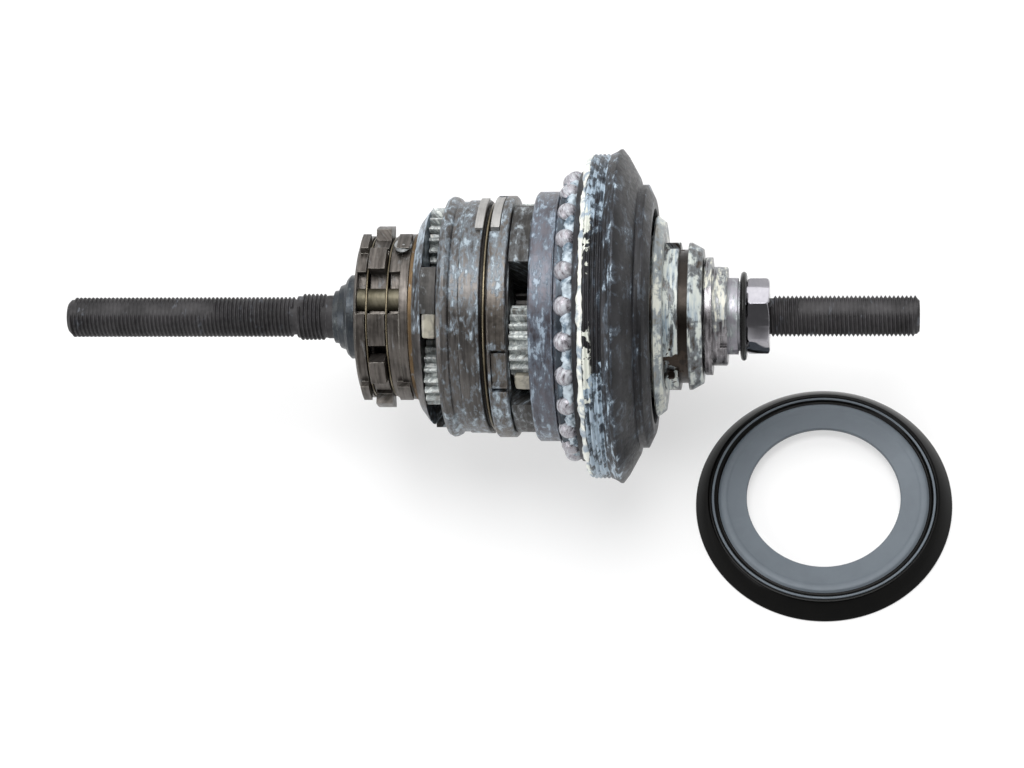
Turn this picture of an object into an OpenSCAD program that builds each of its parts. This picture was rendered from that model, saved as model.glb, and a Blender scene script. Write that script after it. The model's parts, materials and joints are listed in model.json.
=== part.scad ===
// Internal hub gear unit of a bicycle rear hub, with the dust cap lying beside it
// The axle runs along X, the drive side is at +X, and the origin is on the axle's axis
// at the outer face of the right lock nut. Lengths are in millimetres, angles in degrees

/* [Axle] */
// Radius of the axle's end threads, a 3/8 inch axle
axle_r = 4.75; // [4.2:0.05:5]
// Length of the axle outside the right lock nut
axle_right_len = 34.5; // [20:0.5:60]
// Length of the axle outside the larger left thread
axle_left_len = 55.7; // [40:0.1:90]
// Round stretch between the lock nut and the right flats
axle_round_len = 6; // [3:0.5:10]
// Distance across the axle's two flats
axle_flats = 8.4; // [7.6:0.1:9]
// Length of the left flats
left_flat_len = 27.5; // [15:0.5:30]
// Round threaded stretch between the left flats and the larger thread
left_round_len = 20.1; // [12:0.1:24]
// Radius of the larger thread for the left cone
cone_thread_r = 5.5; // [5.3:0.1:6]
// Length of the larger thread
cone_thread_len = 7.2; // [5:0.1:12]
// Radius of the axle under the clutch
clutch_seat_r = 6.5; // [6:0.1:7]
// Radius of the axle under the sun gears
sun_seat_r = 7.5; // [7.1:0.1:8.2]
// Radius of the axle inside the driver
driver_seat_r = 7; // [6.4:0.1:7.4]
// Radius of the axle under the right cone
cone_seat_r = 6; // [5.4:0.1:6.3]
// Chamfer on the axle's tips
tip_chamfer = 1.2; // [0.4:0.1:2]
// Length of the thread's runout groove beside each pair of flats
runout_len = 0.8; // [0.5:0.1:1.5]
// Depth of the runout grooves
runout_depth = 0.35; // [0.2:0.05:0.5]
// How far outside the lock nut the axle's full thread starts
bare_neck_len = 0.3; // [0.2:0.05:0.4]

/* [Right end] */
// Thickness of the right lock nut
nut_len = 5.3; // [4:0.1:8]
// Distance across the lock nut's flats
nut_flats = 16; // [15:0.5:17]
// Depth of the bevel round the lock nut's bore
nut_bore_bevel = 0.7; // [0.5:0.1:1.2]
// Thickness of the black seal ring
seal_len = 1.45; // [1:0.05:2.5]
// Radius of the seal ring
seal_r = 10.4; // [9.6:0.1:11.5]
// Thickness of the washer inside the seal ring
cone_washer_len = 0.55; // [0.4:0.05:1]
// Radius of the right cone's outer end
cone_r = 8.95; // [8.2:0.05:9.4]
// Distance from the cone's axis to its two spanner flats
cone_flat = 8.2; // [7.4:0.1:8.6]
// Length of the cone that shows outside the shift sleeve
cone_neck_len = 2.4; // [1.5:0.1:5]
// Radius of the shift sleeve's narrow step
sleeve_small_r = 11.55; // [10.5:0.05:12.5]
// Length of the shift sleeve's narrow step
sleeve_small_len = 3.5; // [2:0.1:6]
// Radius of the shift sleeve's wide step
sleeve_large_r = 13.75; // [12.8:0.05:15]
// Length of the shift sleeve's wide step
sleeve_large_len = 1.8; // [1:0.1:4]

/* [Driver] */
// Radius of the sprocket seat, for a three lobe sprocket
seat_r = 17.25; // [16.8:0.05:18]
// Length of the sprocket seat
seat_len = 3.4; // [2.5:0.1:6]
// Depth of the three sprocket notches
notch_depth = 1.8; // [1:0.1:2.2]
// Width of each sprocket notch, as an angle
notch_turn = 19; // [10:1:22]
// Length of the snap ring groove beside the seat
groove_len = 2.1; // [1.2:0.1:3]
// Radius of the bottom of the snap ring groove
groove_r = 15.6; // [15:0.1:16]
// Length of the bevelled lip outside the groove
lip_len = 3.3; // [2.5:0.1:5]
// Radius of the small end of the bevelled lip
lip_end_r = 15.7; // [14.8:0.1:16.4]
// Radius of the seat under the dust ring
dust_seat_r = 17.6; // [17.4:0.1:18.5]
// Radius of the driver's dust ring
dust_ring_r = 23.5; // [21:0.1:24.5]
// Thickness of the driver's dust ring
dust_ring_len = 2.2; // [1.5:0.1:4]
// Radius of the driver's hidden body
driver_r = 19; // [18.2:0.1:21]
// Length of the driver's hidden body
driver_body_len = 15.6; // [13:0.1:25]
// Radius of the driver's inner end, which holds the right ring gear
stub_r = 14; // [12:0.1:16]
// Thickness of the snap ring that holds the right ring gear
snap_len = 0.7; // [0.4:0.05:1]
// Radius of the balls between the driver and the right cone
small_ball_r = 1.59; // [1.4:0.01:1.7]
// Radius of the circle of small balls
small_ring_r = 10.3; // [10.2:0.05:11]
// Thickness of the small ball cage
small_cage_wall = 0.5; // [0.3:0.05:0.6]
// Length of the small ball cage
small_cage_len = 4.6; // [4:0.1:5]
// Opening of the snap ring, as an angle
snap_gap_turn = 24; // [10:1:60]
// Count of small balls
small_balls = 12; // [8:1:14]

/* [Gear train] */
// Module of every gear tooth
tooth_module = 0.8; // [0.8:0.01:0.82]
// Teeth of the right sun gear
right_sun_teeth = 30; // [30:3:30]
// Teeth of the left sun gear
left_sun_teeth = 27; // [27:3:27]
// Teeth of every planet gear
planet_teeth = 18; // [18:3:18]
// Planets in each stage
planets = 3; // [3:1:3]
// Face width of every planet gear
planet_len = 9.8; // [8:0.1:13]
// Radius of every planet pin
pin_r = 2; // [1.5:0.1:2.6]
// Amount by which each tooth is thinner than half a pitch
backlash = 0.1; // [0.08:0.01:0.2]
// Thickness of the right ring gear's rim outside its teeth
right_rim_len = 1.9; // [1.4:0.1:2.2]
// Thickness of the right ring gear's end wall
ring_wall_len = 3.2; // [2:0.1:4]
// Length of the window that shows the right planets
right_window_len = 4.85; // [3:0.05:6]
// Radius of the left ring gear's bead
bead_r = 28.3; // [28:0.1:29]
// Radius of the left ring gear's plain band
band_r = 27.4; // [27.2:0.1:27.8]
// Length of the window that shows the left planets
left_window_len = 3.85; // [2.5:0.05:5]

/* [Carrier] */
// Thickness of the carrier's right end plate
end_plate_len = 2; // [1.5:0.1:4]
// Length of the web between the two planet stages
web_len = 9.75; // [8.5:0.05:14]
// Radius of the web, on which the left ring gear turns
web_r = 24.84; // [24.6:0.02:25]
// Radius of the pillars in the right window
right_pillar_r = 27.2; // [26:0.1:28]
// Width of each right pillar, as an angle
right_pillar_turn = 44; // [20:1:50]
// Angle by which the right pillars lie off the middle between two planets
right_pillar_shift = -6; // [-8:1:8]
// Radius of the pillars in the left window
left_pillar_r = 26.3; // [25.5:0.1:27]
// Width of each left pillar, as an angle
left_pillar_turn = 24; // [15:1:40]
// Angle by which the left pillars lie off the middle between two planets
left_pillar_shift = 3; // [-8:1:8]
// Thickness of the left flange
flange_len = 2.7; // [2:0.1:4]
// Radius of the sun spacer inside the web
spacer_r = 9.4; // [8.8:0.1:9.6]

/* [Clutch] */
// Thickness of the bronze washer
bronze_len = 0.9; // [0.5:0.1:1.5]
// Radius of the bronze washer
bronze_r = 19.8; // [19:0.1:20.3]
// Radius of the drum under the clutch rings
drum_r = 12.2; // [12:0.1:12.4]
// Radius of the left and middle clutch rings
clutch_r = 19.1; // [18.9:0.1:19.6]
// Radius of the right clutch ring
clutch_right_r = 19.5; // [19.1:0.1:19.8]
// Length of the right clutch ring
clutch_right_len = 4.75; // [4:0.05:6]
// Length of the middle clutch ring
clutch_middle_len = 3.9; // [3:0.1:6]
// Length of the left clutch ring
clutch_left_len = 2.6; // [2:0.1:4]
// Width of the two spring grooves between the rings
wire_groove_len = 0.8; // [0.76:0.02:1]
// Radius of the raised lugs and pawl tips
lug_r = 21.4; // [20.6:0.1:22]
// Radius of the clutch rollers
roller_r = 2.6; // [2.2:0.05:2.6]
// Radius of the circle that the rollers lie on
roller_ring_r = 15.6; // [15.6:0.01:15.65]
// Width of the windows over the rollers
roller_window = 10.1; // [8:0.1:10.4]
// Distance by which each window reaches further on one side of its roller
roller_window_shift = 1; // [0:0.1:2]
// Radius of the raised lugs on the left and right clutch rings
side_lug_r = 20.8; // [20:0.1:21.4]
// Width of each of those lugs, as an angle
side_lug_turn = 18; // [10:1:24]
// Radius of the clutch springs' wire
clutch_wire_r = 0.28; // [0.2:0.01:0.3]
// Length of the left thrust washer
thrust_len = 3; // [2:0.1:4]
// Radius of the left thrust washer
thrust_r = 9.9; // [9:0.1:11]
// Length of the conical stop nut
stop_nut_len = 3.2; // [2:0.1:5]
// Radius of the stop nut's outer end
stop_nut_r = 6.2; // [5.8:0.1:7]
// Radius of the stop nut's cone where it meets the thrust washer
stop_cone_r = 8.1; // [7.4:0.1:9]
// Length of the plain neck beside the stop nut
neck_len = 1.8; // [1:0.1:3]

/* [Pawl ring] */
// Length of the pawl ring
pawl_ring_len = 4.35; // [3.5:0.05:6]
// Radius of the pawl ring's curved plates
pawl_ring_r = 28.4; // [28:0.1:29]
// Radius of the pockets' floor in the pawl ring
pawl_floor_r = 26.6; // [26.4:0.05:26.8]
// Width of the spring groove beside the pawl ring
spring_gap_len = 1.7; // [1.2:0.1:2.5]
// Radius of the pawl spring's wire
pawl_wire_r = 0.35; // [0.25:0.01:0.45]

/* [Main bearing] */
// Radius of the main bearing's balls
ball_r = 2.38; // [2.2:0.01:2.45]
// Count of main balls
main_balls = 25; // [20:1:26]
// Thickness of the ball cage
cage_wall = 1.3; // [0.8:0.1:1.3]
// Radius of the ball cup's shell thread
cup_thread_r = 38; // [37.5:0.1:39]
// Length of the ball cup's shell thread
cup_thread_len = 3.9; // [3:0.1:6]
// Radius of the ball cup's ridge
cup_ridge_r = 39.1; // [38.8:0.1:42]
// Radius of the ball cup's small end
cup_end_r = 27.6; // [27:0.1:29]
// Radius of the ball cup's opening for the driver
cup_mouth_r = 25.2; // [24.8:0.1:26.4]

/* [Dust cap] */
// Radius of the dust cap's hole
cap_hole_r = 18.25; // [17:0.05:20]
// Width of the dust cap's flat plate
cap_plate_width = 4.55; // [3.5:0.05:6]
// Width of the dust cap's two beads, from the flat plate to the rubber lip
cap_bead_width = 4.1; // [3.6:0.1:5]
// Width of the dust cap's rubber lip outside the beads
cap_lip_width = 3.64; // [2.6:0.02:7]
// Height of the dust cap
cap_height = 4.5; // [3.5:0.1:7]
// Thickness of the dust cap's sheet
cap_sheet = 1; // [0.6:0.1:1.4]
// Place of the dust cap along X
cap_x = 12.4; // [0:0.1:40]
// Place of the dust cap along Y
cap_y = -29.8; // [-60:0.1:-20]

/* [Hidden] */

// Facets that a round shape is drawn with
fine = 96;
// Clearance between flat faces of parts that turn past each other
face_gap = 0.3;
// Radial clearance of a shaft in the hole that it turns in
run_gap = 0.06;
// Radial clearance of a pin or ring in its fixed seat
seat_gap = 0.02;
// Radial clearance round a ball
ball_gap = 0.06;
// Overrun of a cutting shape past the face that it cuts
over = 1;
// Angle about the axle, from Y towards Z, that faces the viewer
view_turn = 121;
// Pressure angle of the teeth
pressure = 20;

// Stations along the axle, from the drive side inwards
x_nut = -nut_len;
x_seal = x_nut - seal_len;
x_cone = x_seal - cone_washer_len;
x_sleeve_out = x_cone - cone_neck_len;
x_sleeve_step = x_sleeve_out - sleeve_small_len;
x_sleeve_in = x_sleeve_step - sleeve_large_len;
x_driver_out = x_sleeve_in - face_gap;
x_lip = x_driver_out - lip_len;
x_groove = x_lip - groove_len;
x_seat = x_groove - seat_len;
x_dust = x_seat - dust_ring_len;
x_wall_out = x_dust - driver_body_len;
x_wall_in = x_wall_out - ring_wall_len;
x_stub = x_wall_in - snap_len - 0.15;
x_plate_out = x_stub - face_gap;
x_plate_in = x_plate_out - end_plate_len;
x_right_planet_out = x_plate_in - face_gap;
x_right_planet_in = x_right_planet_out - planet_len;
x_web_out = x_right_planet_in - face_gap;
x_web_in = x_web_out - web_len;
x_left_planet_out = x_web_in - face_gap;
x_left_planet_in = x_left_planet_out - planet_len;
x_flange_out = x_left_planet_in - face_gap;
x_flange_in = x_flange_out - flange_len;
x_bronze = x_flange_in - bronze_len;
x_middle_out = x_bronze - clutch_right_len - wire_groove_len;
x_middle_in = x_middle_out - clutch_middle_len;
x_left_out = x_middle_in - wire_groove_len;
x_left_in = x_left_out - clutch_left_len;
x_drum_in = x_left_in - 0.8;
x_thrust_out = x_drum_in - 0.2;
x_thrust_in = x_thrust_out - thrust_len;
x_stop_in = x_thrust_in - stop_nut_len;
x_thread_out = x_stop_in - neck_len;
x_thread_in = x_thread_out - cone_thread_len;
x_axle_left = x_thread_in - axle_left_len;

// Stations of the two ring gears and the pawl ring
x_right_ring = x_web_out + right_window_len;
x_left_ring = x_flange_out + left_window_len;
x_pawl_out = x_web_out - face_gap;
x_pawl_in = x_pawl_out - pawl_ring_len;
x_left_shoulder = x_pawl_in - spring_gap_len;
x_left_teeth_out = x_left_planet_out + face_gap / 2;

// Gear sizes that follow from the tooth counts
addendum = tooth_module;
dedendum = 1.25 * tooth_module;
right_distance = tooth_module * (right_sun_teeth + planet_teeth) / 2;
left_distance = tooth_module * (left_sun_teeth + planet_teeth) / 2;
right_ring_teeth = right_sun_teeth + 2 * planet_teeth;
left_ring_teeth = left_sun_teeth + 2 * planet_teeth;
right_tip_r = tooth_module * right_ring_teeth / 2 - addendum;
right_ring_r = tooth_module * right_ring_teeth / 2 + dedendum + right_rim_len;
left_tip_r = tooth_module * left_ring_teeth / 2 - addendum;

// Angles about the axle of the first planet of each stage
right_first = view_turn + 15;
left_first = view_turn + 42;
stage_step = 360 / planets;

// Main bearing, with its ball circle above the right ring gear's race
ball_ring_r = right_ring_r + ball_gap + ball_r;
race_r = ball_r + ball_gap;
x_ball = x_wall_out - ball_r - 1;
x_cup_left = x_ball + ball_r + 1.8;
x_cup_thread = x_cup_left + 0.7;
x_cup_ridge = x_cup_thread + cup_thread_len + 2.2;
x_cup_end = x_dust - face_gap;

// Small bearing, between the driver and the right cone
small_race_r = small_ball_r + ball_gap;
x_small_ball = x_driver_out - small_ball_r - 1.7;

// Sleeve of the left ring gear that carries the pawl ring
sleeve_in_r = web_r + run_gap;
sleeve_out_r = sleeve_in_r + 1;

// Clutch pawls: the angles of the pivot and the two ends of the raised tip
pawl_pivot_r = 16.7;
pawl_pin_r = 0.8;
pawl_boss_r = 1.6;
pawl_floor = 14.9;
pawl_first = view_turn + 38;
pawl_pivot_turn = 24;
pawl_tip_turn = 10;
pawl_relief = 9;

// Ring pawls: half the width of the pocket, and the pivot's place in it
ring_pawl_first = view_turn + 25;
ring_pocket_turn = 11;
ring_pivot_turn = 8;
ring_pivot_r = 27.5;
ring_pin_r = 0.4;
ring_boss_r = 0.82;
ring_arm_rise = 0.2;
clip_first = view_turn - 65;
clip_gap_turn = 20;

// Radii of the dust cap's plate, beads and lip
cap_plate_r = cap_hole_r + cap_plate_width;
cap_rim_r = cap_plate_r + cap_bead_width;
cap_lip_r = cap_rim_r + cap_lip_width;

// Bore of the lock nut
nut_bore_r = axle_r - 0.2;

floor_z = -cup_ridge_r;
bar_seam_turn = 125;

// Puts a shape drawn along Z onto the axle's axis
module on_axle() {
    rotate([90, 0, 90]) children();
}

// A ring shape from a half outline of [radius, x] points
module turned(outline) {
    on_axle() rotate_extrude($fn = fine) polygon(outline);
}

// A plain ring between two radii and two stations
module ring(r_in, r_out, x_from, x_to) {
    turned([[r_in, x_from], [r_out, x_from], [r_out, x_to], [r_in, x_to]]);
}

// A part of a ring, between two angles about the axle
module arc_block(r_in, r_out, x_from, x_to, turn_from, turn_to) {
    on_axle() rotate([0, 0, turn_from])
        rotate_extrude(angle = turn_to - turn_from, $fn = fine)
            translate([r_in, x_from]) square([r_out - r_in, x_to - x_from]);
}

// A round bar along X at a radius and an angle about the axle, with its seam off the radial line
module bar(r, ring_r, turn, x_from, x_to, sides = 48) {
    on_axle() rotate([0, 0, turn]) translate([ring_r, 0, x_from]) rotate([0, 0, bar_seam_turn])
        cylinder(r = r, h = x_to - x_from, $fn = sides);
}

// Copies a shape about the axle
module about_axle(count, first = 0) {
    for (i = [0:count - 1]) rotate([first + i * 360 / count, 0, 0]) children();
}

// Half the angle that a tooth fills at a radius, from the involute of its base circle
function involute(angle) = tan(angle) * 180 / PI - angle;
function half_tooth(r, pitch_r, width) =
    width * 90 / (PI * pitch_r) + involute(pressure)
    - involute(acos(min(1, pitch_r * cos(pressure) / r)));

// Outline of a gear with a given tooth width at the pitch circle
function gear_outline(teeth, r_root, r_tip, width) =
    let (pitch_r = teeth * tooth_module / 2)
    let (low = max(r_root, pitch_r * cos(pressure)))
    let (radii = [r_root, (low + pitch_r) / 2, (pitch_r + r_tip) / 2, r_tip])
    let (halves = [for (r = radii) half_tooth(max(r, low), pitch_r, width)])
    [for (k = [0:teeth - 1]) for (j = [0:7])
        let (i = j < 4 ? j : 7 - j)
        let (turn = k * 360 / teeth + (j < 4 ? -halves[i] : halves[i]))
        radii[i] * [cos(turn), sin(turn)]];

tooth_width = PI * tooth_module / 2 - backlash;
space_width = PI * tooth_module / 2 + backlash;

// Angle of a planet's tooth, so that it meshes with the sun gear
function planet_phase(turn, sun_teeth) =
    turn + 180 + (turn * sun_teeth - 180) / planet_teeth;

// Angle of a ring gear's tooth space, so that it meshes with the planet at that angle
function ring_phase(turn, sun_teeth, ring_teeth) =
    turn - (turn - planet_phase(turn, sun_teeth)) * planet_teeth / ring_teeth;

// An external gear about the axle
module outer_gear(teeth, bore_r, x_from, x_to) {
    pitch_r = teeth * tooth_module / 2;
    on_axle() translate([0, 0, x_from]) difference() {
        linear_extrude(x_to - x_from)
            polygon(gear_outline(teeth, pitch_r - dedendum, pitch_r + addendum, tooth_width));
        translate([0, 0, -over]) cylinder(r = bore_r, h = x_to - x_from + 2 * over, $fn = fine);
    }
}

// The tooth spaces of a ring gear, as a solid to cut away
module ring_spaces(teeth, sun_teeth, first, x_from, x_to) {
    pitch_r = teeth * tooth_module / 2;
    on_axle() translate([0, 0, x_from]) rotate([0, 0, ring_phase(first, sun_teeth, teeth)])
        linear_extrude(x_to - x_from)
            polygon(gear_outline(teeth, pitch_r - addendum, pitch_r + dedendum, space_width));
}

// One planet gear on its pin
module planet(distance, turn, sun_teeth, x_from) {
    translate([0, distance * cos(turn), distance * sin(turn)])
        rotate([planet_phase(turn, sun_teeth), 0, 0])
            outer_gear(planet_teeth, pin_r + run_gap, x_from, x_from + planet_len);
}

// Cuts the axle's two flats between two stations
module axle_flat_cut(x_from, x_to) {
    for (side = [0, 180]) rotate([side, 0, 0])
        translate([x_from, -axle_r - over, axle_flats / 2])
            cube([x_to - x_from, 2 * (axle_r + over), axle_r]);
}

module axle() {
    runout_r = axle_r - runout_depth;
    x_flat_in = x_thread_in - left_round_len;
    color("dimgray") difference() {
        turned([
            [0, x_axle_left], [axle_r - tip_chamfer, x_axle_left],
            [axle_r, x_axle_left + tip_chamfer], [axle_r, x_flat_in - runout_len],
            [runout_r, x_flat_in - runout_len], [runout_r, x_flat_in], [axle_r, x_flat_in],
            [axle_r, x_thread_in], [cone_thread_r, x_thread_in],
            [cone_thread_r, x_thread_out], [cone_thread_r - 0.4, x_thread_out],
            [cone_thread_r - 0.4, x_thrust_out], [clutch_seat_r, x_thrust_out],
            [clutch_seat_r, x_bronze], [sun_seat_r, x_bronze],
            [sun_seat_r, x_plate_in], [driver_seat_r, x_plate_in],
            [driver_seat_r, x_small_ball - 2.3], [cone_seat_r, x_small_ball - 2.3],
            [cone_seat_r, x_nut], [nut_bore_r - seat_gap, x_nut],
            [nut_bore_r - seat_gap, bare_neck_len], [axle_r, bare_neck_len],
            [axle_r, axle_round_len], [runout_r, axle_round_len],
            [runout_r, axle_round_len + runout_len], [axle_r, axle_round_len + runout_len],
            [axle_r, axle_right_len - tip_chamfer],
            [axle_r - tip_chamfer, axle_right_len], [0, axle_right_len]]);
        axle_flat_cut(axle_round_len + runout_len / 2, axle_right_len + over);
        axle_flat_cut(x_flat_in - runout_len - left_flat_len, x_flat_in - runout_len / 2);
    }
}

module right_sun_gear() {
    color("lightsteelblue") outer_gear(right_sun_teeth, sun_seat_r + seat_gap,
        x_right_planet_in, x_right_planet_out);
}

module left_sun_gear() {
    color("lightsteelblue") outer_gear(left_sun_teeth, sun_seat_r + seat_gap,
        x_left_planet_in, x_left_planet_out);
}

module sun_spacer() {
    color("silver") ring(sun_seat_r + seat_gap, spacer_r, x_left_planet_out, x_right_planet_in);
}

module sun_thrust_washer() {
    color("tan") ring(driver_seat_r + seat_gap, spacer_r + 1, x_plate_in, x_plate_in + 0.8);
}

module left_stop_nut() {
    bore = cone_thread_r - 0.4 + seat_gap;
    color("darkslategray") turned([
        [bore, x_stop_in], [stop_nut_r, x_stop_in], [stop_nut_r + 0.2, x_stop_in + 1.3],
        [stop_cone_r - 0.7, x_stop_in + 1.4], [stop_cone_r, x_thrust_in], [bore, x_thrust_in]]);
}

module left_thrust_washer() {
    bore = cone_thread_r - 0.4 + seat_gap;
    color("darkslategray") turned([
        [bore, x_thrust_in], [thrust_r - 0.7, x_thrust_in], [thrust_r, x_thrust_in + 0.7],
        [thrust_r, x_thrust_out - 0.4], [thrust_r - 0.4, x_thrust_out], [bore, x_thrust_out]]);
}

module right_cone() {
    bore = cone_seat_r + seat_gap;
    shoulder_r = cone_r + 0.95;
    color("silver") difference() {
        turned(concat(
            [[bore, x_cone], [cone_r, x_cone], [cone_r, x_sleeve_in - 0.2],
             [shoulder_r, x_sleeve_in - 0.2]],
            [for (a = [-15:-15:-75])
                [small_ring_r + small_race_r * sin(a), x_small_ball + small_race_r * cos(a)]],
            [[small_ring_r - 1.7, x_small_ball - 2.1], [bore, x_small_ball - 2.1]]));
        for (side = [0, 180]) rotate([view_turn + 35 + side, 0, 0])
            translate([x_sleeve_out + 0.3, cone_flat, -cone_r])
                cube([cone_neck_len + over, cone_r, 2 * cone_r]);
    }
}

module cone_washer() {
    color("silver") ring(cone_seat_r + seat_gap, cone_r - 0.8, x_seal - cone_washer_len, x_seal);
}

module seal_ring() {
    bore = cone_seat_r + seat_gap;
    color("black") turned([
        [bore, x_seal], [seal_r - 0.5, x_seal], [seal_r, x_seal + 0.5],
        [seal_r, x_nut - 0.5], [seal_r - 0.5, x_nut], [bore, x_nut]]);
}

module right_lock_nut() {
    corner_r = nut_flats / sqrt(3);
    bevel = 0.3;
    color("gainsboro") difference() {
        intersection() {
            on_axle() translate([0, 0, x_nut]) rotate([0, 0, view_turn - 21])
                cylinder(r = corner_r, h = nut_len, $fn = 6);
            turned([
                [0, x_nut], [corner_r - bevel, x_nut], [corner_r, x_nut + bevel],
                [corner_r, -bevel], [corner_r - bevel, 0], [0, 0]]);
        }
        turned([
            [0, x_nut - over], [nut_bore_r, x_nut - over], [nut_bore_r, -nut_bore_bevel],
            [nut_bore_r + nut_bore_bevel, 0], [nut_bore_r + nut_bore_bevel, over], [0, over]]);
    }
}

module dust_cap_plate() {
    top = cap_height;
    bead = cap_plate_r + 1.6;
    color("slategray") translate([cap_x, cap_y, floor_z]) rotate_extrude($fn = fine) polygon([
        [cap_hole_r, top - cap_sheet - 0.2], [cap_hole_r, top - 0.2],
        [cap_plate_r, top - 0.2], [cap_plate_r + 0.3, top], [bead, top],
        [bead + 0.6, top - 0.6], [bead + 1.2, top - 0.6], [bead + 1.9, top],
        [cap_rim_r, top], [cap_rim_r, top - cap_sheet - 0.6], [bead, top - cap_sheet - 0.6],
        [bead - 0.5, top - cap_sheet - 0.2]]);
}

module dust_cap_lip() {
    top = cap_height;
    color("black") translate([cap_x, cap_y, floor_z]) rotate_extrude($fn = fine) polygon([
        [cap_rim_r, top], [cap_rim_r + 0.5, top - 0.1], [cap_lip_r, 0.5], [cap_lip_r, 0],
        [cap_lip_r - 1.5, 0], [cap_rim_r + 0.3, top - cap_sheet - 1.1],
        [cap_rim_r - 0.6, top - cap_sheet - 1.1], [cap_rim_r - 0.6, top - cap_sheet - 0.6],
        [cap_rim_r, top - cap_sheet - 0.6]]);
}

module shift_sleeve() {
    bore = cone_r + run_gap;
    color("lightgray") difference() {
        turned([
            [bore, x_sleeve_in], [sleeve_large_r - 0.3, x_sleeve_in],
            [sleeve_large_r, x_sleeve_in + 0.3], [sleeve_large_r, x_sleeve_step],
            [sleeve_small_r, x_sleeve_step], [sleeve_small_r, x_sleeve_out - 0.3],
            [sleeve_small_r - 0.3, x_sleeve_out], [bore, x_sleeve_out]]);
        about_axle(3, view_turn - 90)
            translate([x_sleeve_out - 1.6, sleeve_small_r - 1.2, -1.6])
                cube([1.6 + over, 2, 3.2]);
    }
}

module driver() {
    small_bore = driver_seat_r + run_gap;
    wide_bore = small_ring_r - 1.1;
    mouth_r = small_ring_r + 1.9;
    cup_r = small_ring_r + small_race_r * sin(165);
    color("lightslategray") difference() {
        turned(concat(
            [[small_bore, x_stub], [stub_r, x_stub], [stub_r, x_wall_in - snap_len - 0.05],
             [stub_r - 0.8, x_wall_in - snap_len - 0.05], [stub_r - 0.8, x_wall_in],
             [stub_r, x_wall_in], [stub_r, x_wall_out], [driver_r, x_wall_out],
             [driver_r, x_dust], [dust_seat_r, x_dust], [dust_seat_r, x_seat],
             [seat_r, x_seat], [seat_r, x_groove], [groove_r, x_groove], [groove_r, x_lip],
             [seat_r - 0.05, x_lip], [seat_r - 0.05, x_lip + 0.7], [lip_end_r, x_driver_out],
             [mouth_r, x_driver_out], [mouth_r, x_small_ball + 0.6]],
            [for (a = [105:15:165])
                [small_ring_r + small_race_r * sin(a), x_small_ball + small_race_r * cos(a)]],
            [[cup_r, x_small_ball - 2.7], [wide_bore, x_small_ball - 2.7],
             [wide_bore, x_wall_out], [small_bore, x_wall_out]]));
        for (i = [0:2])
            arc_block(seat_r - notch_depth, seat_r + over, x_seat, x_groove + over,
                view_turn + 44 - notch_turn / 2 + 120 * i,
                view_turn + 44 + notch_turn / 2 + 120 * i);
    }
}

module driver_dust_ring() {
    bore = dust_seat_r + seat_gap;
    color("lightgray") turned([
        [bore, x_dust], [dust_ring_r - 0.4, x_dust], [dust_ring_r, x_dust + 0.4],
        [dust_ring_r - 1.4, x_seat], [bore, x_seat]]);
}

module right_ring_gear() {
    lip_x = x_ball - ball_r - 0.5;
    hollow_r = right_tip_r + 0.9;
    color("slategray") difference() {
        turned([
            [stub_r + seat_gap, x_wall_in], [hollow_r, x_wall_in],
            [hollow_r, x_plate_in - 0.1], [hollow_r - 2.5, x_plate_in - 0.1],
            [hollow_r - 2.5, x_right_ring], [right_ring_r - 0.4, x_right_ring],
            [right_ring_r, x_right_ring + 0.4], [right_ring_r, lip_x - 0.4],
            [right_ring_r + 0.7, lip_x - 0.2], [right_ring_r + 0.7, lip_x],
            [right_ring_r, lip_x + 0.2], [right_ring_r, x_wall_out],
            [stub_r + seat_gap, x_wall_out]]);
        ring_spaces(right_ring_teeth, right_sun_teeth, right_first,
            x_right_ring - over, x_plate_in - 0.05);
    }
}

module ring_gear_snap_ring() {
    color("silver") arc_block(stub_r - 0.75, stub_r + 1.5, x_wall_in - snap_len, x_wall_in,
        view_turn + snap_gap_turn / 2, view_turn + 360 - snap_gap_turn / 2);
}

module driver_bearing_cage() {
    color("burlywood") difference() {
        ring(small_ring_r - small_cage_wall / 2, small_ring_r + small_cage_wall / 2,
            x_small_ball - small_cage_len / 2, x_small_ball + small_cage_len / 2);
        about_axle(small_balls) translate([x_small_ball, small_ring_r - 1, 0])
            rotate([-90, 0, 0]) cylinder(r = small_ball_r + 0.11, h = 2, $fn = 32);
    }
}

module driver_bearing_balls() {
    color("gainsboro") about_axle(small_balls)
        translate([x_small_ball, small_ring_r, 0]) sphere(r = small_ball_r, $fn = 32);
}

module main_bearing_cage() {
    color("steelblue") difference() {
        ring(ball_ring_r - 1, ball_ring_r - 1 + cage_wall,
            x_ball - ball_r + 0.5, x_ball + ball_r + 0.9);
        about_axle(main_balls) translate([x_ball, ball_ring_r - 3, 0])
            rotate([-90, 0, 0]) cylinder(r = ball_r + 0.1, h = 6, $fn = 32);
    }
}

module main_bearing_balls() {
    color("gainsboro") about_axle(main_balls)
        translate([x_ball, ball_ring_r, 0]) sphere(r = ball_r, $fn = 32);
}

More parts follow.
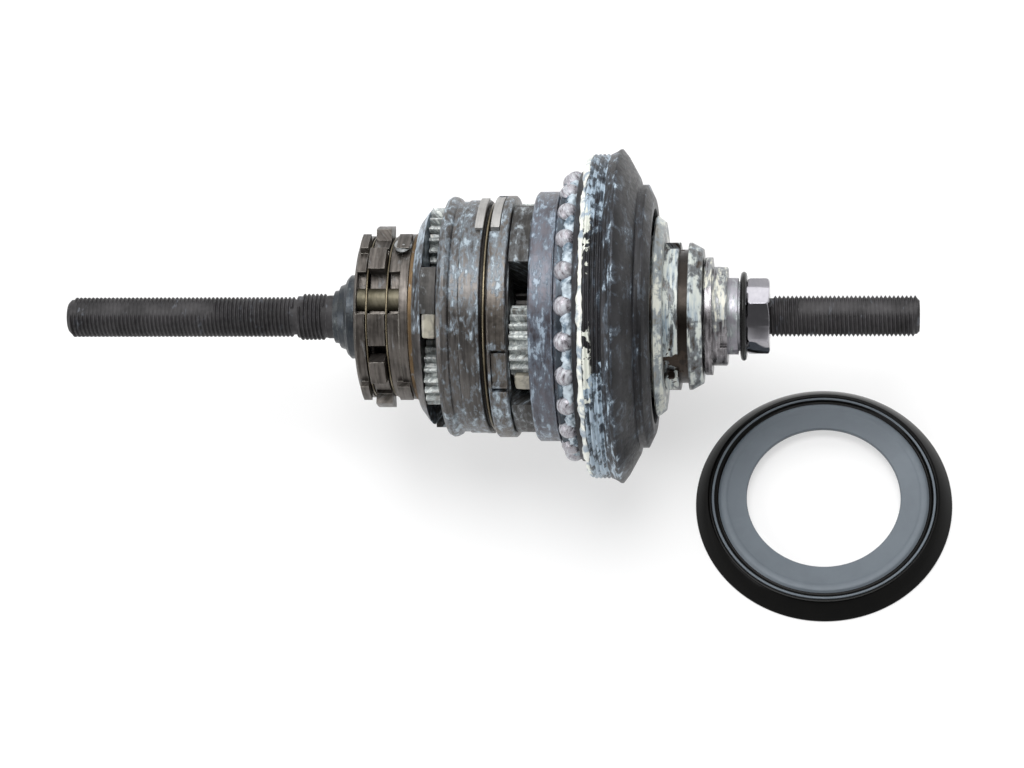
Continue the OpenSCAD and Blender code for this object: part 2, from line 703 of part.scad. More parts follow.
module right_ball_cup() {
    lip_in_r = ball_ring_r + race_r * sin(15);
    lip_turn = 40;
    lip_out_r = ball_ring_r + race_r * sin(lip_turn) + 0.7;
    lip_x = x_ball + race_r * cos(lip_turn);
    wall_in = right_ring_r + 1.4;
    color("darkslategray") turned(concat(
        [for (a = [lip_turn:-12.5:15]) [ball_ring_r + race_r * sin(a), x_ball + race_r * cos(a)]],
        [[lip_in_r, x_ball + ball_r + 1.3], [wall_in, x_ball + ball_r + 1.3],
         [wall_in, x_cup_ridge + 0.6], [cup_mouth_r + 2, x_cup_end - 3],
         [cup_mouth_r, x_cup_end - 1.6], [cup_mouth_r, x_cup_end],
         [cup_end_r, x_cup_end], [cup_end_r + 3.2, x_cup_end - 1.5],
         [cup_end_r + 3.2, x_cup_end - 3.2], [cup_end_r + 5, x_cup_end - 3.6],
         [cup_ridge_r - 1.7, x_cup_ridge + 1.5], [cup_ridge_r, x_cup_ridge + 0.2],
         [cup_ridge_r, x_cup_ridge - 0.2], [cup_ridge_r - 0.4, x_cup_ridge - 0.7],
         [cup_thread_r, x_cup_thread + cup_thread_len], [cup_thread_r, x_cup_thread],
         [cup_thread_r - 0.8, x_cup_left], [lip_out_r, x_cup_left],
         [lip_out_r, lip_x]]));
}

// Holes for one stage's planet pins
module pin_holes(distance, first, x_from, x_to) {
    for (i = [0:planets - 1])
        bar(pin_r + seat_gap, distance, first + i * stage_step, x_from, x_to);
}

module carrier_web() {
    right_hub_r = right_distance - planet_teeth * tooth_module / 2 + addendum + 0.6;
    left_hub_r = left_distance - planet_teeth * tooth_module / 2 + addendum + 0.6;
    half_step = stage_step / 2;
    color("gray") difference() {
        union() {
            ring(spacer_r + run_gap, web_r, x_web_in, x_web_out);
            for (i = [0:planets - 1]) {
                middle = right_first + half_step + right_pillar_shift + i * stage_step;
                arc_block(right_hub_r, right_tip_r - face_gap, x_web_out - 0.01, x_plate_in,
                    middle - right_pillar_turn / 2, middle + right_pillar_turn / 2);
                arc_block(right_hub_r, right_pillar_r, x_web_out, x_right_ring - face_gap,
                    middle - right_pillar_turn / 2, middle + right_pillar_turn / 2);
            }
            for (i = [0:planets - 1]) {
                middle = left_first + half_step + left_pillar_shift + i * stage_step;
                arc_block(left_hub_r, left_tip_r - face_gap, x_flange_out, x_web_in + 0.01,
                    middle - left_pillar_turn / 2, middle + left_pillar_turn / 2);
                arc_block(left_hub_r, left_pillar_r, x_flange_out, x_left_ring - face_gap,
                    middle - left_pillar_turn / 2, middle + left_pillar_turn / 2);
            }
        }
        pin_holes(right_distance, right_first, x_web_out - 2.5, x_web_out + over);
        pin_holes(left_distance, left_first, x_web_in - over, x_web_in + 2.5);
    }
}

module carrier_left_flange() {
    color("lightslategray") difference() {
        turned([
            [sun_seat_r + run_gap, x_flange_in], [bronze_r + 0.7, x_flange_in],
            [bronze_r + 2.8, x_flange_in + 0.5], [bronze_r + 5, x_flange_out - 0.6],
            [left_pillar_r - 0.9, x_flange_out], [sun_seat_r + run_gap, x_flange_out]]);
        pin_holes(left_distance, left_first, x_flange_in + 0.7, x_flange_out + over);
    }
}

module carrier_end_plate() {
    plate_in_r = right_distance - planet_teeth * tooth_module / 2 + addendum + 0.6;
    color("gray") difference() {
        ring(plate_in_r, right_tip_r - face_gap - 0.2, x_plate_in, x_plate_out);
        pin_holes(right_distance, right_first, x_plate_in - over, x_plate_out + over);
    }
}

module left_planet_pins() {
    color("silver") for (i = [0:planets - 1])
        bar(pin_r, left_distance, left_first + i * stage_step,
            x_flange_in + 0.75, x_web_in + 2.4);
}

module right_planet_pins() {
    color("silver") for (i = [0:planets - 1])
        bar(pin_r, right_distance, right_first + i * stage_step,
            x_web_out - 2.4, x_plate_out);
}

module bronze_washer() {
    color("peru") ring(sun_seat_r + run_gap, bronze_r, x_bronze, x_flange_in);
}

module clutch_drum() {
    color("dimgray") ring(clutch_seat_r + run_gap, drum_r, x_drum_in, x_bronze);
}

// Angle of the middle of a roller window
function roller_turn(i) = view_turn - 16 + 120 * i;

// Windows over the three rollers, and the round pockets that the rollers lie in
module roller_cuts(x_from, x_to) {
    for (i = [0:2]) {
        rotate([roller_turn(i), 0, 0])
            translate([x_from, roller_ring_r, -roller_window / 2 - roller_window_shift])
                cube([x_to - x_from, 6, roller_window]);
        bar(roller_r + run_gap, roller_ring_r, roller_turn(i), x_from, x_to);
    }
}

// Pockets for the three pawls, with room for a pawl's tip to fold in
module pawl_pockets(x_from, x_to) {
    for (i = [0:2])
        arc_block(pawl_floor, lug_r + over, x_from, x_to,
            pawl_first - pawl_tip_turn - pawl_relief + 120 * i,
            pawl_first + pawl_pivot_turn + 7 + 120 * i);
}

module pawl_pin_holes(x_from, x_to) {
    for (i = [0:2])
        bar(pawl_pin_r + seat_gap, pawl_pivot_r, pawl_first + pawl_pivot_turn + 120 * i,
            x_from, x_to, 24);
}

// Raised lugs on the left and right rings
module side_lugs(x_from, x_to) {
    for (i = [0:2])
        arc_block(clutch_r - 1, side_lug_r, x_from, x_to,
            view_turn - 61 - side_lug_turn / 2 + 120 * i,
            view_turn - 61 + side_lug_turn / 2 + 120 * i);
}

module clutch_ring_left() {
    color("dimgray") difference() {
        union() {
            turned([
                [drum_r + seat_gap, x_left_in], [clutch_r - 0.5, x_left_in],
                [clutch_r, x_left_in + 0.5], [clutch_r, x_left_out],
                [drum_r + seat_gap, x_left_out]]);
            side_lugs(x_left_in + 0.7, x_left_out);
        }
        roller_cuts(x_left_in + 0.6, x_left_out + over);
        pawl_pin_holes(x_left_out - 1, x_left_out + over);
    }
}

module clutch_ring_middle() {
    color("dimgray") difference() {
        union() {
            ring(drum_r + seat_gap, clutch_r, x_middle_in, x_middle_out);
            for (i = [0:2])
                arc_block(clutch_r - 0.1, lug_r, x_middle_in, x_middle_out,
                    view_turn - 50 + 120 * i, view_turn - 33 + 120 * i);
        }
        roller_cuts(x_middle_in - over, x_middle_out + over);
        pawl_pockets(x_middle_in - over, x_middle_out + over);
    }
}

module clutch_ring_right() {
    x_right_out = x_bronze;
    x_right_in = x_middle_out + wire_groove_len;
    color("dimgray") difference() {
        union() {
            turned([
                [drum_r + seat_gap, x_right_in], [clutch_r, x_right_in],
                [clutch_r, x_right_in + 2.5], [clutch_right_r, x_right_in + 2.6],
                [clutch_right_r, x_right_out - 0.3], [clutch_right_r - 0.3, x_right_out],
                [drum_r + seat_gap, x_right_out]]);
            side_lugs(x_right_in + 1.2, x_right_out - 0.5);
        }
        roller_cuts(x_right_in - over, x_right_in + 2.5);
        pawl_pin_holes(x_right_in - over, x_right_in + 1);
    }
}

module clutch_rollers() {
    color("darkkhaki") for (i = [0:2])
        bar(roller_r, roller_ring_r, roller_turn(i),
            x_left_in + 0.65, x_middle_out + wire_groove_len + 2.4);
}

module clutch_springs() {
    wire_ring_r = roller_ring_r + roller_r + clutch_wire_r + 0.08;
    color("gold") for (x = [x_middle_in, x_middle_out + wire_groove_len])
        on_axle() translate([0, 0, x - wire_groove_len / 2]) rotate_extrude($fn = fine)
            translate([wire_ring_r, 0]) circle(r = clutch_wire_r, $fn = 24);
}

module clutch_pawl_pins() {
    color("silver") for (i = [0:2])
        bar(pawl_pin_r, pawl_pivot_r, pawl_first + pawl_pivot_turn + 120 * i,
            x_left_out - 0.9, x_middle_out + wire_groove_len + 0.9, 24);
}

// Points along an arc about the axle, at one radius
function arc_points(r, turn_from, turn_to, steps = 4) =
    [for (k = [0:steps])
        let (turn = turn_from + (turn_to - turn_from) * k / steps)
        r * [cos(turn), sin(turn)]];

// Points around the far half of a pivot's boss, from outside to inside
function boss_points(r, ring_r, turn, steps = 8) =
    [for (k = [0:steps])
        let (a = turn + 180 * k / steps)
        ring_r * [cos(turn), sin(turn)] + r * [cos(a), sin(a)]];

// One clutch pawl: a curved arm with a raised tip, on its own pin
module clutch_pawl(i) {
    x_from = x_middle_in + 0.15;
    x_to = x_middle_out - 0.15;
    pivot = pawl_first + pawl_pivot_turn + 120 * i;
    tip = pawl_first + 120 * i;
    arm_r = clutch_r - 0.1;
    color("darkgray") difference() {
        union() {
            on_axle() translate([0, 0, x_from]) linear_extrude(x_to - x_from) polygon(concat(
                arc_points(lug_r, tip - pawl_tip_turn, tip + pawl_tip_turn - 3),
                arc_points(arm_r, tip + pawl_tip_turn, pivot),
                arc_points(arm_r - 1.8, pivot, tip - pawl_tip_turn)));
            bar(pawl_boss_r, pawl_pivot_r, pivot, x_from, x_to);
        }
        bar(pawl_pin_r + run_gap, pawl_pivot_r, pivot, x_from - over, x_to + over, 24);
    }
}

module left_ring_gear() {
    root_r = left_tip_r - 1.2;
    color("slategray") difference() {
        turned([
            [sleeve_in_r, x_pawl_out], [sleeve_in_r, x_left_teeth_out],
            [root_r, x_left_teeth_out], [root_r, x_left_ring], [bead_r - 1.1, x_left_ring],
            [bead_r - 0.4, x_left_ring + 0.3], [bead_r, x_left_ring + 1.1],
            [bead_r - 0.1, x_left_ring + 1.8], [bead_r - 0.5, x_left_ring + 2.6],
            [band_r - 0.3, x_left_ring + 3], [band_r - 0.3, x_left_ring + 4.9],
            [band_r, x_left_ring + 5.2], [band_r, x_left_shoulder - 0.3],
            [band_r - 0.3, x_left_shoulder], [sleeve_out_r, x_left_shoulder],
            [sleeve_out_r, x_pawl_out]]);
        ring_spaces(left_ring_teeth, left_sun_teeth, left_first,
            x_left_ring - over, x_left_teeth_out);
    }
}

module pawl_ring() {
    color("slategray") difference() {
        turned([
            [sleeve_out_r + seat_gap, x_pawl_in], [pawl_ring_r - 0.3, x_pawl_in],
            [pawl_ring_r, x_pawl_in + 0.3], [pawl_ring_r, x_pawl_out - 0.3],
            [pawl_ring_r - 0.3, x_pawl_out], [sleeve_out_r + seat_gap, x_pawl_out]]);
        for (i = [0:1]) {
            arc_block(pawl_floor_r, pawl_ring_r + over, x_pawl_in + 0.7, x_pawl_out + over,
                ring_pawl_first - ring_pocket_turn + 180 * i,
                ring_pawl_first + ring_pocket_turn + 180 * i);
            arc_block(pawl_floor_r, pawl_ring_r + over, x_pawl_in - over, x_pawl_out - 2,
                clip_first - clip_gap_turn + 180 * i, clip_first + clip_gap_turn + 180 * i);
            bar(ring_pin_r + seat_gap, ring_pivot_r, ring_pawl_first + ring_pivot_turn + 180 * i,
                x_pawl_in - over, x_pawl_in + over, 24);
        }
    }
}

module ring_pawl_spring() {
    color("goldenrod") on_axle() translate([0, 0, x_left_shoulder + spring_gap_len / 2])
        rotate_extrude($fn = fine)
            translate([sleeve_out_r + pawl_wire_r + 0.1, 0]) circle(r = pawl_wire_r, $fn = 24);
}

module ring_pawl_pins() {
    color("silver") for (i = [0:1])
        bar(ring_pin_r, ring_pivot_r, ring_pawl_first + ring_pivot_turn + 180 * i,
            x_pawl_in + 0.05, x_pawl_out - 0.15, 24);
}

// One pawl of the pawl ring, lying flush in its pocket on its own pin
module ring_pawl(i) {
    x_from = x_pawl_in + 0.9;
    x_to = x_pawl_out - 0.1;
    pivot = ring_pawl_first + ring_pivot_turn + 180 * i;
    tip = pivot - 2 * ring_pivot_turn - 1;
    color("darkslategray") difference() {
        on_axle() translate([0, 0, x_from]) linear_extrude(x_to - x_from) polygon(concat(
            arc_points(ring_pivot_r + ring_arm_rise, tip, pivot - 2.5),
            boss_points(ring_boss_r, ring_pivot_r, pivot),
            arc_points(ring_pivot_r - ring_boss_r, pivot - 1, tip)));
        bar(ring_pin_r + run_gap, ring_pivot_r, pivot, x_from - over, x_to + over, 24);
    }
}

module left_spring_clips() {
    color("white") for (i = [0:1])
        arc_block(band_r + 0.02, band_r + 0.7, x_left_shoulder - 1.9, x_left_shoulder,
            clip_first - clip_gap_turn + 3 + 180 * i, clip_first + clip_gap_turn - 3 + 180 * i);
}

module right_spring_clips() {
    color("white") for (i = [0:1])
        arc_block(pawl_floor_r + 0.02, pawl_ring_r - 0.1, x_pawl_in + 0.1, x_pawl_in + 2.1,
            clip_first - clip_gap_turn + 3 + 180 * i, clip_first + clip_gap_turn - 3 + 180 * i);
}

module left_planet(i) {
    color("lightsteelblue")
        planet(left_distance, left_first + i * stage_step, left_sun_teeth, x_left_planet_in);
}

module right_planet(i) {
    color("lightsteelblue")
        planet(right_distance, right_first + i * stage_step, right_sun_teeth, x_right_planet_in);
}

axle();
right_sun_gear();
left_sun_gear();
sun_spacer();
sun_thrust_washer();
left_stop_nut();
left_thrust_washer();
right_cone();
cone_washer();
seal_ring();
right_lock_nut();
dust_cap_plate();
dust_cap_lip();
shift_sleeve();
driver();
driver_dust_ring();
right_ring_gear();
ring_gear_snap_ring();
driver_bearing_cage();
driver_bearing_balls();
main_bearing_cage();
main_bearing_balls();
right_ball_cup();
carrier_web();
carrier_left_flange();
carrier_end_plate();
left_planet_pins();
right_planet_pins();
bronze_washer();
clutch_drum();
clutch_ring_left();
clutch_ring_middle();
clutch_ring_right();
clutch_rollers();
clutch_springs();
clutch_pawl_pins();
clutch_pawl(0);  // clutch_pawl_1
clutch_pawl(1);  // clutch_pawl_2
clutch_pawl(2);  // clutch_pawl_3
left_planet(0);  // left_planet_1
left_planet(1);  // left_planet_2
left_planet(2);  // left_planet_3
right_planet(0);  // right_planet_1
right_planet(1);  // right_planet_2
right_planet(2);  // right_planet_3
left_ring_gear();
pawl_ring();
ring_pawl_spring();
ring_pawl_pins();
left_spring_clips();
right_spring_clips();
ring_pawl(0);  // ring_pawl_1
ring_pawl(1);  // ring_pawl_2
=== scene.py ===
"""Looks of an internal hub gear unit, taken out of its shell, with its dust cap lying beside it.

The axle runs along X with the drive side at +X, Z is up, and lengths are written in millimetres. A
station is a place along the axle, and an outline's points are (radius, station).
"""

import json
import logging
import math
from collections.abc import Callable, Sequence
from dataclasses import dataclass, field
from enum import Enum
from functools import cache

import bpy
from mathutils import Matrix, Vector

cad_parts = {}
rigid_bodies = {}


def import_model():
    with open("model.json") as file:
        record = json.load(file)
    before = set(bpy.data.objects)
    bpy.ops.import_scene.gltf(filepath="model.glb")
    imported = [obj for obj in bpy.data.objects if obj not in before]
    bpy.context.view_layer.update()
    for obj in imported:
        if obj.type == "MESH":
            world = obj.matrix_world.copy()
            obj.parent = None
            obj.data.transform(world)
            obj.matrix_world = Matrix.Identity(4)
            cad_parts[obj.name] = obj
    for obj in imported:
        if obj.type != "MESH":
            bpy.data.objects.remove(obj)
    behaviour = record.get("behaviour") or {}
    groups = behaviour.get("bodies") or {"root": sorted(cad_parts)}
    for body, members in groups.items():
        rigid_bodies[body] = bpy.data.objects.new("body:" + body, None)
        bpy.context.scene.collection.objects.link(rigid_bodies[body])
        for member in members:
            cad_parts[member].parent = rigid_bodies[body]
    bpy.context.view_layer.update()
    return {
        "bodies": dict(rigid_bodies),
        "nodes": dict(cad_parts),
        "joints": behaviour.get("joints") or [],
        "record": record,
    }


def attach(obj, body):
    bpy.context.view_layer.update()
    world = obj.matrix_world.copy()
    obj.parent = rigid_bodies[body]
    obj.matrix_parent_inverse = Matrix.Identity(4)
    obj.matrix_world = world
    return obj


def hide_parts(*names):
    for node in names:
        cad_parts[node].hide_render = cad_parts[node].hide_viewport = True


log = logging.getLogger("hub_gear")

MM = 0.001
TURN = 2 * math.pi
# Angle about the axle, from Y towards Z, that faces the viewer
VIEW_TURN = 121.0
FLOOR_Z = -39.1
# Radius and station of the circle that the main bearing's balls run on
BALL_CIRCLE = 31.74
BALL_STATION = -45.28
WHITE = (1.0, 1.0, 1.0, 1.0)

Colour = tuple[float, float, float]
Place = tuple[float, float, float]
Point = tuple[float, float]
Outline = Sequence[Point]
Socket = bpy.types.NodeSocket
Material = bpy.types.Material
Piece = bpy.types.Object


class Slot(Enum):
    """Names of material slots, given with each new piece."""

    AXLE = "axle_steel"
    DARK = "dark_steel"
    CHROME = "chrome"
    RUBBER = "seal_rubber"
    PLATE = "cap_plate"


class Spindle(Enum):
    """Directions that a turned piece can be turned about."""

    ALONG = (1.0, 0.0, 0.0)
    UPRIGHT = (0.0, 0.0, 1.0)


class Wiring:
    """Adds nodes to one tree. What feeds a node is an output socket or a plain value."""

    def __init__(self, owner: Material | bpy.types.World) -> None:
        """Starts an empty tree.

        Args:
            owner: The material or world that the tree belongs to.
        """
        owner.use_nodes = True
        self.owner = owner
        self.tree = owner.node_tree
        self.tree.nodes.clear()

    def feed(self, socket: Socket, source: object) -> None:
        """Joins a socket to another, or sets its value.

        Args:
            socket: The socket that is fed.
            source: An output socket, or a plain value.
        """
        if isinstance(source, Socket):
            self.tree.links.new(source, socket)
        else:
            socket.default_value = source

    def node(self, kind: str, *sources: object, **settings: object) -> bpy.types.Node:
        """Adds a node.

        Args:
            kind: The node's type, without its common first part.
            sources: What feeds its first inputs, where None leaves one as it is.
            settings: The node's own settings.

        Returns:
            The new node.
        """
        made = self.tree.nodes.new(f"ShaderNode{kind}")
        for key, value in settings.items():
            setattr(made, key, value)
        for socket, source in zip(made.inputs, sources):
            if source is not None:
                self.feed(socket, source)
        return made

    def math(self, operation: str, first: object, second: object = 0.0) -> Socket:
        """Joins two values by one operation."""
        return self.node("Math", first, second, operation=operation).outputs[0]

    def plus(self, first: object, second: object) -> Socket:
        """Adds two values."""
        return self.math("ADD", first, second)

    def times(self, first: object, second: object) -> Socket:
        """Multiplies two values."""
        return self.math("MULTIPLY", first, second)

    def centred(self, noise: object, share: float) -> Socket:
        """Turns noise between 0 and 1 into a share of noise around 0."""
        return self.times(self.math("SUBTRACT", noise, 0.5), share)

    def vector(self, operation: str, first: object, second: object = None) -> bpy.types.Node:
        """Joins one or two vectors, into a vector as first output or a value as second."""
        return self.node("VectorMath", first, second, operation=operation)

    def noise(
        self, place: object, scale: float, detail: float, rough: float, warp: float = 0.0
    ) -> Socket:
        """Cloudy noise from 0 to 1, with detail as octaves and rough as their strength."""
        made = self.node("TexNoise", place, None, scale, detail, rough, None, None, None, warp)
        return made.outputs["Fac"]

    def span(
        self, value: object, low: float, high: float, bottom: float = 0.0, top: float = 1.0
    ) -> Socket:
        """Maps the range from low to high softly onto the one from bottom to top."""
        bounds = (low, high, bottom, top)
        return self.node("MapRange", value, *bounds, interpolation_type="SMOOTHSTEP").outputs[0]

    def blend(self, share: object, first: object, second: object) -> Socket:
        """Mixes two plain values, with a share of the second one."""
        return self.node("Mix", share, None, first, second, data_type="FLOAT").outputs[0]

    def tint(self, share: object, first: object, second: object) -> Socket:
        """Mixes two colours, with a share of the second one."""
        colours = [c if isinstance(c, Socket) else (*c, 1.0) for c in (first, second)]
        return self.node("Mix", share, *[None] * 5, *colours, data_type="RGBA").outputs[2]

    def seen(self) -> Socket:
        """Finds the rays that show the background: the camera's, and those that metal sends on.

        Returns:
            A value that is 1 for such a ray.
        """
        path = self.node("LightPath").outputs
        mirrored = self.math("MAXIMUM", path["Is Glossy Ray"], path["Is Transmission Ray"])
        return self.math("MAXIMUM", path["Is Camera Ray"], mirrored)

    def show(self, shader: bpy.types.Node, kind: str = "OutputMaterial") -> None:
        """Joins a shader to the tree's output."""
        self.feed(self.node(kind).inputs["Surface"], shader.outputs[0])

    def skin(
        self, tone: object, metal: object, rough: object, height: object, relief: float,
        rounded: Socket | None = None, shine: float = 0.5,
    ) -> Material:
        """Joins a surface's looks to the output of a material.

        Args:
            tone: The surface's colour.
            metal: How metallic it is.
            rough: How rough it is.
            height: The height of its relief, as noise.
            relief: How deep the relief is.
            rounded: The normal with rounded edges, if it has one.
            shine: Its specular level.

        Returns:
            The material.
        """
        bump = self.node("Bump", 1.0, relief * MM, None, height, rounded).outputs[0]
        shader = self.node("BsdfPrincipled", tone, metal, rough)
        self.feed(shader.inputs["Normal"], bump)
        self.feed(shader.inputs["Specular IOR Level"], shine)
        self.show(shader)
        return self.owner


@dataclass(frozen=True)
class Patch:
    """A place on a turned piece, about a station and an angle from the side that faces the viewer.

    More grease lies there, or less where extra is below 0, or a tone covers it. Its sides fray.
    """

    station: float
    half_length: float
    turn: float = 0.0
    half_turn: float = 180.0
    extra: float = 0.0
    # A tone is the colour of grease on some patches, and painted shade in grooves on others
    tone: Colour | None = None
    fray: float = 0.0
    soft_end: float = 0.25
    soft_side: float = 0.06

    def mask(self, wires: Wiring, station: object, unit: object, ragged: object) -> Socket:
        """Builds the patch's mask.

        Args:
            wires: The material's wiring.
            station: The station, in metres.
            unit: The direction away from the axle.
            ragged: Noise around 0 that frays the patch's ends.

        Returns:
            A mask that is 1 on the patch.
        """
        away = wires.math("ABSOLUTE", wires.math("SUBTRACT", station, self.station * MM))
        away = wires.plus(away, wires.times(ragged, self.fray * MM))
        ends = [(self.half_length + soft) * MM for soft in (self.soft_end, -self.soft_end)]
        near = wires.span(away, *ends)
        if self.half_turn >= 180.0:
            return near
        turn = math.radians(VIEW_TURN + self.turn)
        facing = wires.vector("DOT_PRODUCT", unit, (0.0, math.cos(turn), math.sin(turn))).outputs[1]
        half = math.radians(self.half_turn)
        sides = [math.cos(half * (1.0 + soft)) for soft in (self.soft_side, -self.soft_side)]
        return wires.times(near, wires.span(wires.plus(facing, ragged), *sides))


@dataclass(frozen=True)
class Finish:
    """One finish of metal or rubber, with turning marks, grease and worn edges.

    Its pairs are ranges of noise or of a result. Grease lies as a thin film round thick places,
    which are lean where they are thinnest.
    """

    name: str
    tone: Colour
    other_tone: Colour
    metal: float = 0.8
    rough: Point = (0.3, 0.5)
    marks: float = 0.4
    mark_fineness: float = 1500.0
    mark_width: float = 2.5
    mark_slant: float = 0.8
    grain: float = 900.0
    grain_height: float = 0.5
    grain_range: Point = (0.3, 0.7)
    cloud: float = 130.0
    cloud_range: Point = (0.36, 0.64)
    relief: float = 0.02
    wear: float = 0.25
    wear_bend: Point = (0.01, 0.2)
    wear_grain: Point = (0.35, 0.6)
    worn: Colour = (0.55, 0.54, 0.53)
    rounding: float = 0.2
    grease: float = 0.0
    grease_fray: float = 0.20
    grease_edge: float = 0.72
    grease_step: float = 0.44
    film_range: Point = (-0.09, 0.03)
    thick_range: Point = (0.03, 0.13)
    thick: Colour = (0.56, 0.63, 0.67)
    thick_height: float = 3.0
    lean: Colour = (0.22, 0.27, 0.32)
    lean_range: Point = (0.36, 0.60)
    film: Colour = (0.165, 0.200, 0.235)
    film_share: float = 0.75
    film_rough: float = 0.34
    smear: float = 480.0
    smear_length: float = 1.5
    smear_width: float = 0.55
    streak: float = 0.16
    shine: float = 0.5
    patches: tuple[Patch, ...] = ()
    patch_noise: float = 430.0
    patch_fray: float = 0.24

    def material(self) -> Material:
        """Builds the finish's material.

        Returns:
            The new material.
        """
        wires = Wiring(bpy.data.materials.new(self.name))
        place = wires.node("TexCoord").outputs["Object"]
        station, unit, marks_place, smear_place = self._places(wires, place)
        marks = wires.noise(marks_place, 1.0, detail=3.0, rough=0.6)
        grain = wires.noise(place, self.grain, detail=6.0, rough=0.65)
        cloud = wires.noise(place, self.cloud, detail=4.0, rough=0.6, warp=0.3)
        frayed = wires.noise(place, self.patch_noise, detail=2.5, rough=0.5, warp=0.4)
        ragged = wires.centred(frayed, self.patch_fray)
        patches = [(patch, patch.mask(wires, station, unit, ragged)) for patch in self.patches]
        rounded = wires.node("Bevel", self.rounding * MM, samples=4).outputs[0]
        flat = wires.node("NewGeometry").outputs["Normal"]
        bend = wires.math("SUBTRACT", 1.0, wires.vector("DOT_PRODUCT", rounded, flat).outputs[1])
        edge = wires.times(wires.span(bend, *self.wear_bend), wires.span(grain, *self.wear_grain))

        mixed = wires.blend(self.marks, cloud, marks)
        tone = wires.tint(wires.span(mixed, *self.cloud_range), self.tone, self.other_tone)
        tone = wires.tint(wires.times(edge, self.wear), tone, self.worn)
        rough = wires.blend(wires.span(grain, *self.grain_range), *self.rough)
        height = wires.plus(wires.times(marks, self.marks), wires.times(grain, self.grain_height))
        metal: object = self.metal
        if self.grease > 0:
            film, thick = self._grease(wires, smear_place, grain, marks, patches)
            depth = wires.blend(min(1.0, 2.0 * self.streak), grain, marks)
            deep_tone = wires.tint(wires.span(depth, *self.lean_range), self.lean, self.thick)
            tone = wires.tint(thick, wires.tint(film, tone, self.film), deep_tone)
            rough = wires.blend(film, rough, self.film_rough)
            metal = wires.blend(wires.math("MAXIMUM", film, thick), self.metal, 0.0)
            height = wires.plus(height, wires.plus(film, wires.times(thick, self.thick_height)))
        # Patch tones: cream grease on the cup, painted shade in grooves and at a notch on other
        # pieces
        for patch, mask in patches:
            if patch.tone is not None:
                tone = wires.tint(mask, tone, patch.tone)
        return wires.skin(tone, metal, rough, height, self.relief, rounded, self.shine)

    def _places(self, wires: Wiring, place: Socket) -> tuple[Socket, ...]:
        """Coordinates that run about the axle, for turning marks and for smears.

        Args:
            wires: The material's wiring.
            place: The object coordinates.

        Returns:
            The station, the direction away from the axle, and the marks' and smears' coordinates.
        """
        across = wires.vector("MULTIPLY", place, (0.0, 1.0, 1.0)).outputs[0]
        radius = wires.vector("LENGTH", across).outputs[1]
        unit = wires.vector("NORMALIZE", across).outputs[0]
        station = wires.node("SeparateXYZ", place).outputs[0]
        along = wires.plus(station, wires.times(radius, self.mark_slant))
        found = [station, unit]
        for base, length, width in (
            (unit, self.mark_fineness, self.mark_width),
            (place, self.smear * self.smear_length, self.smear * self.smear_width),
        ):
            drawn = wires.node("CombineXYZ", wires.times(along, length)).outputs[0]
            spread = wires.vector("MULTIPLY", base, (0.0, width, width)).outputs[0]
            found.append(wires.vector("ADD", drawn, spread).outputs[0])
        return tuple(found)

    def _grease(
        self, wires: Wiring, place: Socket, grain: Socket, marks: Socket,
        patches: list[tuple[Patch, Socket]],
    ) -> tuple[Socket, Socket]:
        """Finds where grease lies as a thin film, and where it lies thick.

        Args:
            wires: The material's wiring.
            place: Coordinates for the smears.
            grain: Fine noise that frays their edges.
            marks: Turning marks, which the film follows.
            patches: The patches with their masks.

        Returns:
            The film's mask and the thick grease's mask.
        """
        level = wires.noise(place, 1.0, detail=8.0, rough=0.66, warp=0.35)
        for noise, share in ((grain, self.grease_fray), (marks, self.streak)):
            level = wires.plus(level, wires.centred(noise, share))
        for patch, mask in patches:
            if patch.extra:
                level = wires.plus(level, wires.times(mask, patch.extra))
        edge = self.grease_edge - self.grease_step * self.grease
        ranges = (self.film_range, self.thick_range)
        film, thick = (wires.span(level, edge + low, edge + high) for low, high in ranges)
        return wires.times(film, self.film_share), thick


@dataclass(frozen=True)
class GreaseFinish:
    """Thick lithium grease, cream in deep places and blue or grey where it is thin."""

    name: str
    tone: Colour
    thin_tone: Colour
    fineness: float = 330.0
    cover: Point = (0.38, 0.58)
    grain: float = 1500.0
    grain_height: float = 0.3
    grain_range: Point = (0.3, 0.7)
    rough: Point = (0.28, 0.42)
    relief: float = 0.09

    def material(self) -> Material:
        """Builds the grease's material.

        Returns:
            The new material.
        """
        wires = Wiring(bpy.data.materials.new(self.name))
        place = wires.node("TexCoord").outputs["Object"]
        cloud = wires.noise(place, self.fineness, detail=5.0, rough=0.62, warp=0.5)
        grain = wires.noise(place, self.grain, detail=4.0, rough=0.6)
        tone = wires.tint(wires.span(cloud, *self.cover), self.thin_tone, self.tone)
        rough = wires.span(grain, *self.grain_range, *self.rough)
        height = wires.plus(cloud, wires.times(grain, self.grain_height))
        return wires.skin(tone, 0.0, rough, height, self.relief)


Coating = Finish | GreaseFinish


def pick(*pieces: Piece) -> None:
    """Selects some pieces alone and makes the first one active.

    Args:
        pieces: The pieces, or none where a new one comes next.
    """
    bpy.ops.object.select_all(action="DESELECT")
    for piece in pieces:
        piece.select_set(True)
    if pieces:
        bpy.context.view_layer.objects.active = pieces[0]


def edit(piece: Piece, action: str = "SELECT") -> None:
    """Opens one piece alone in edit mode.

    Args:
        piece: The piece.
        action: What is done to the selection of its corners.
    """
    pick(piece)
    bpy.ops.object.mode_set(mode="EDIT")
    bpy.ops.mesh.select_all(action=action)


def close() -> None:
    """Goes back to object mode."""
    bpy.ops.object.mode_set(mode="OBJECT")


def close_outwards() -> None:
    """Turns all faces outwards and goes back to object mode."""
    bpy.ops.mesh.select_all(action="SELECT")
    bpy.ops.mesh.normals_make_consistent(inside=False)
    close()


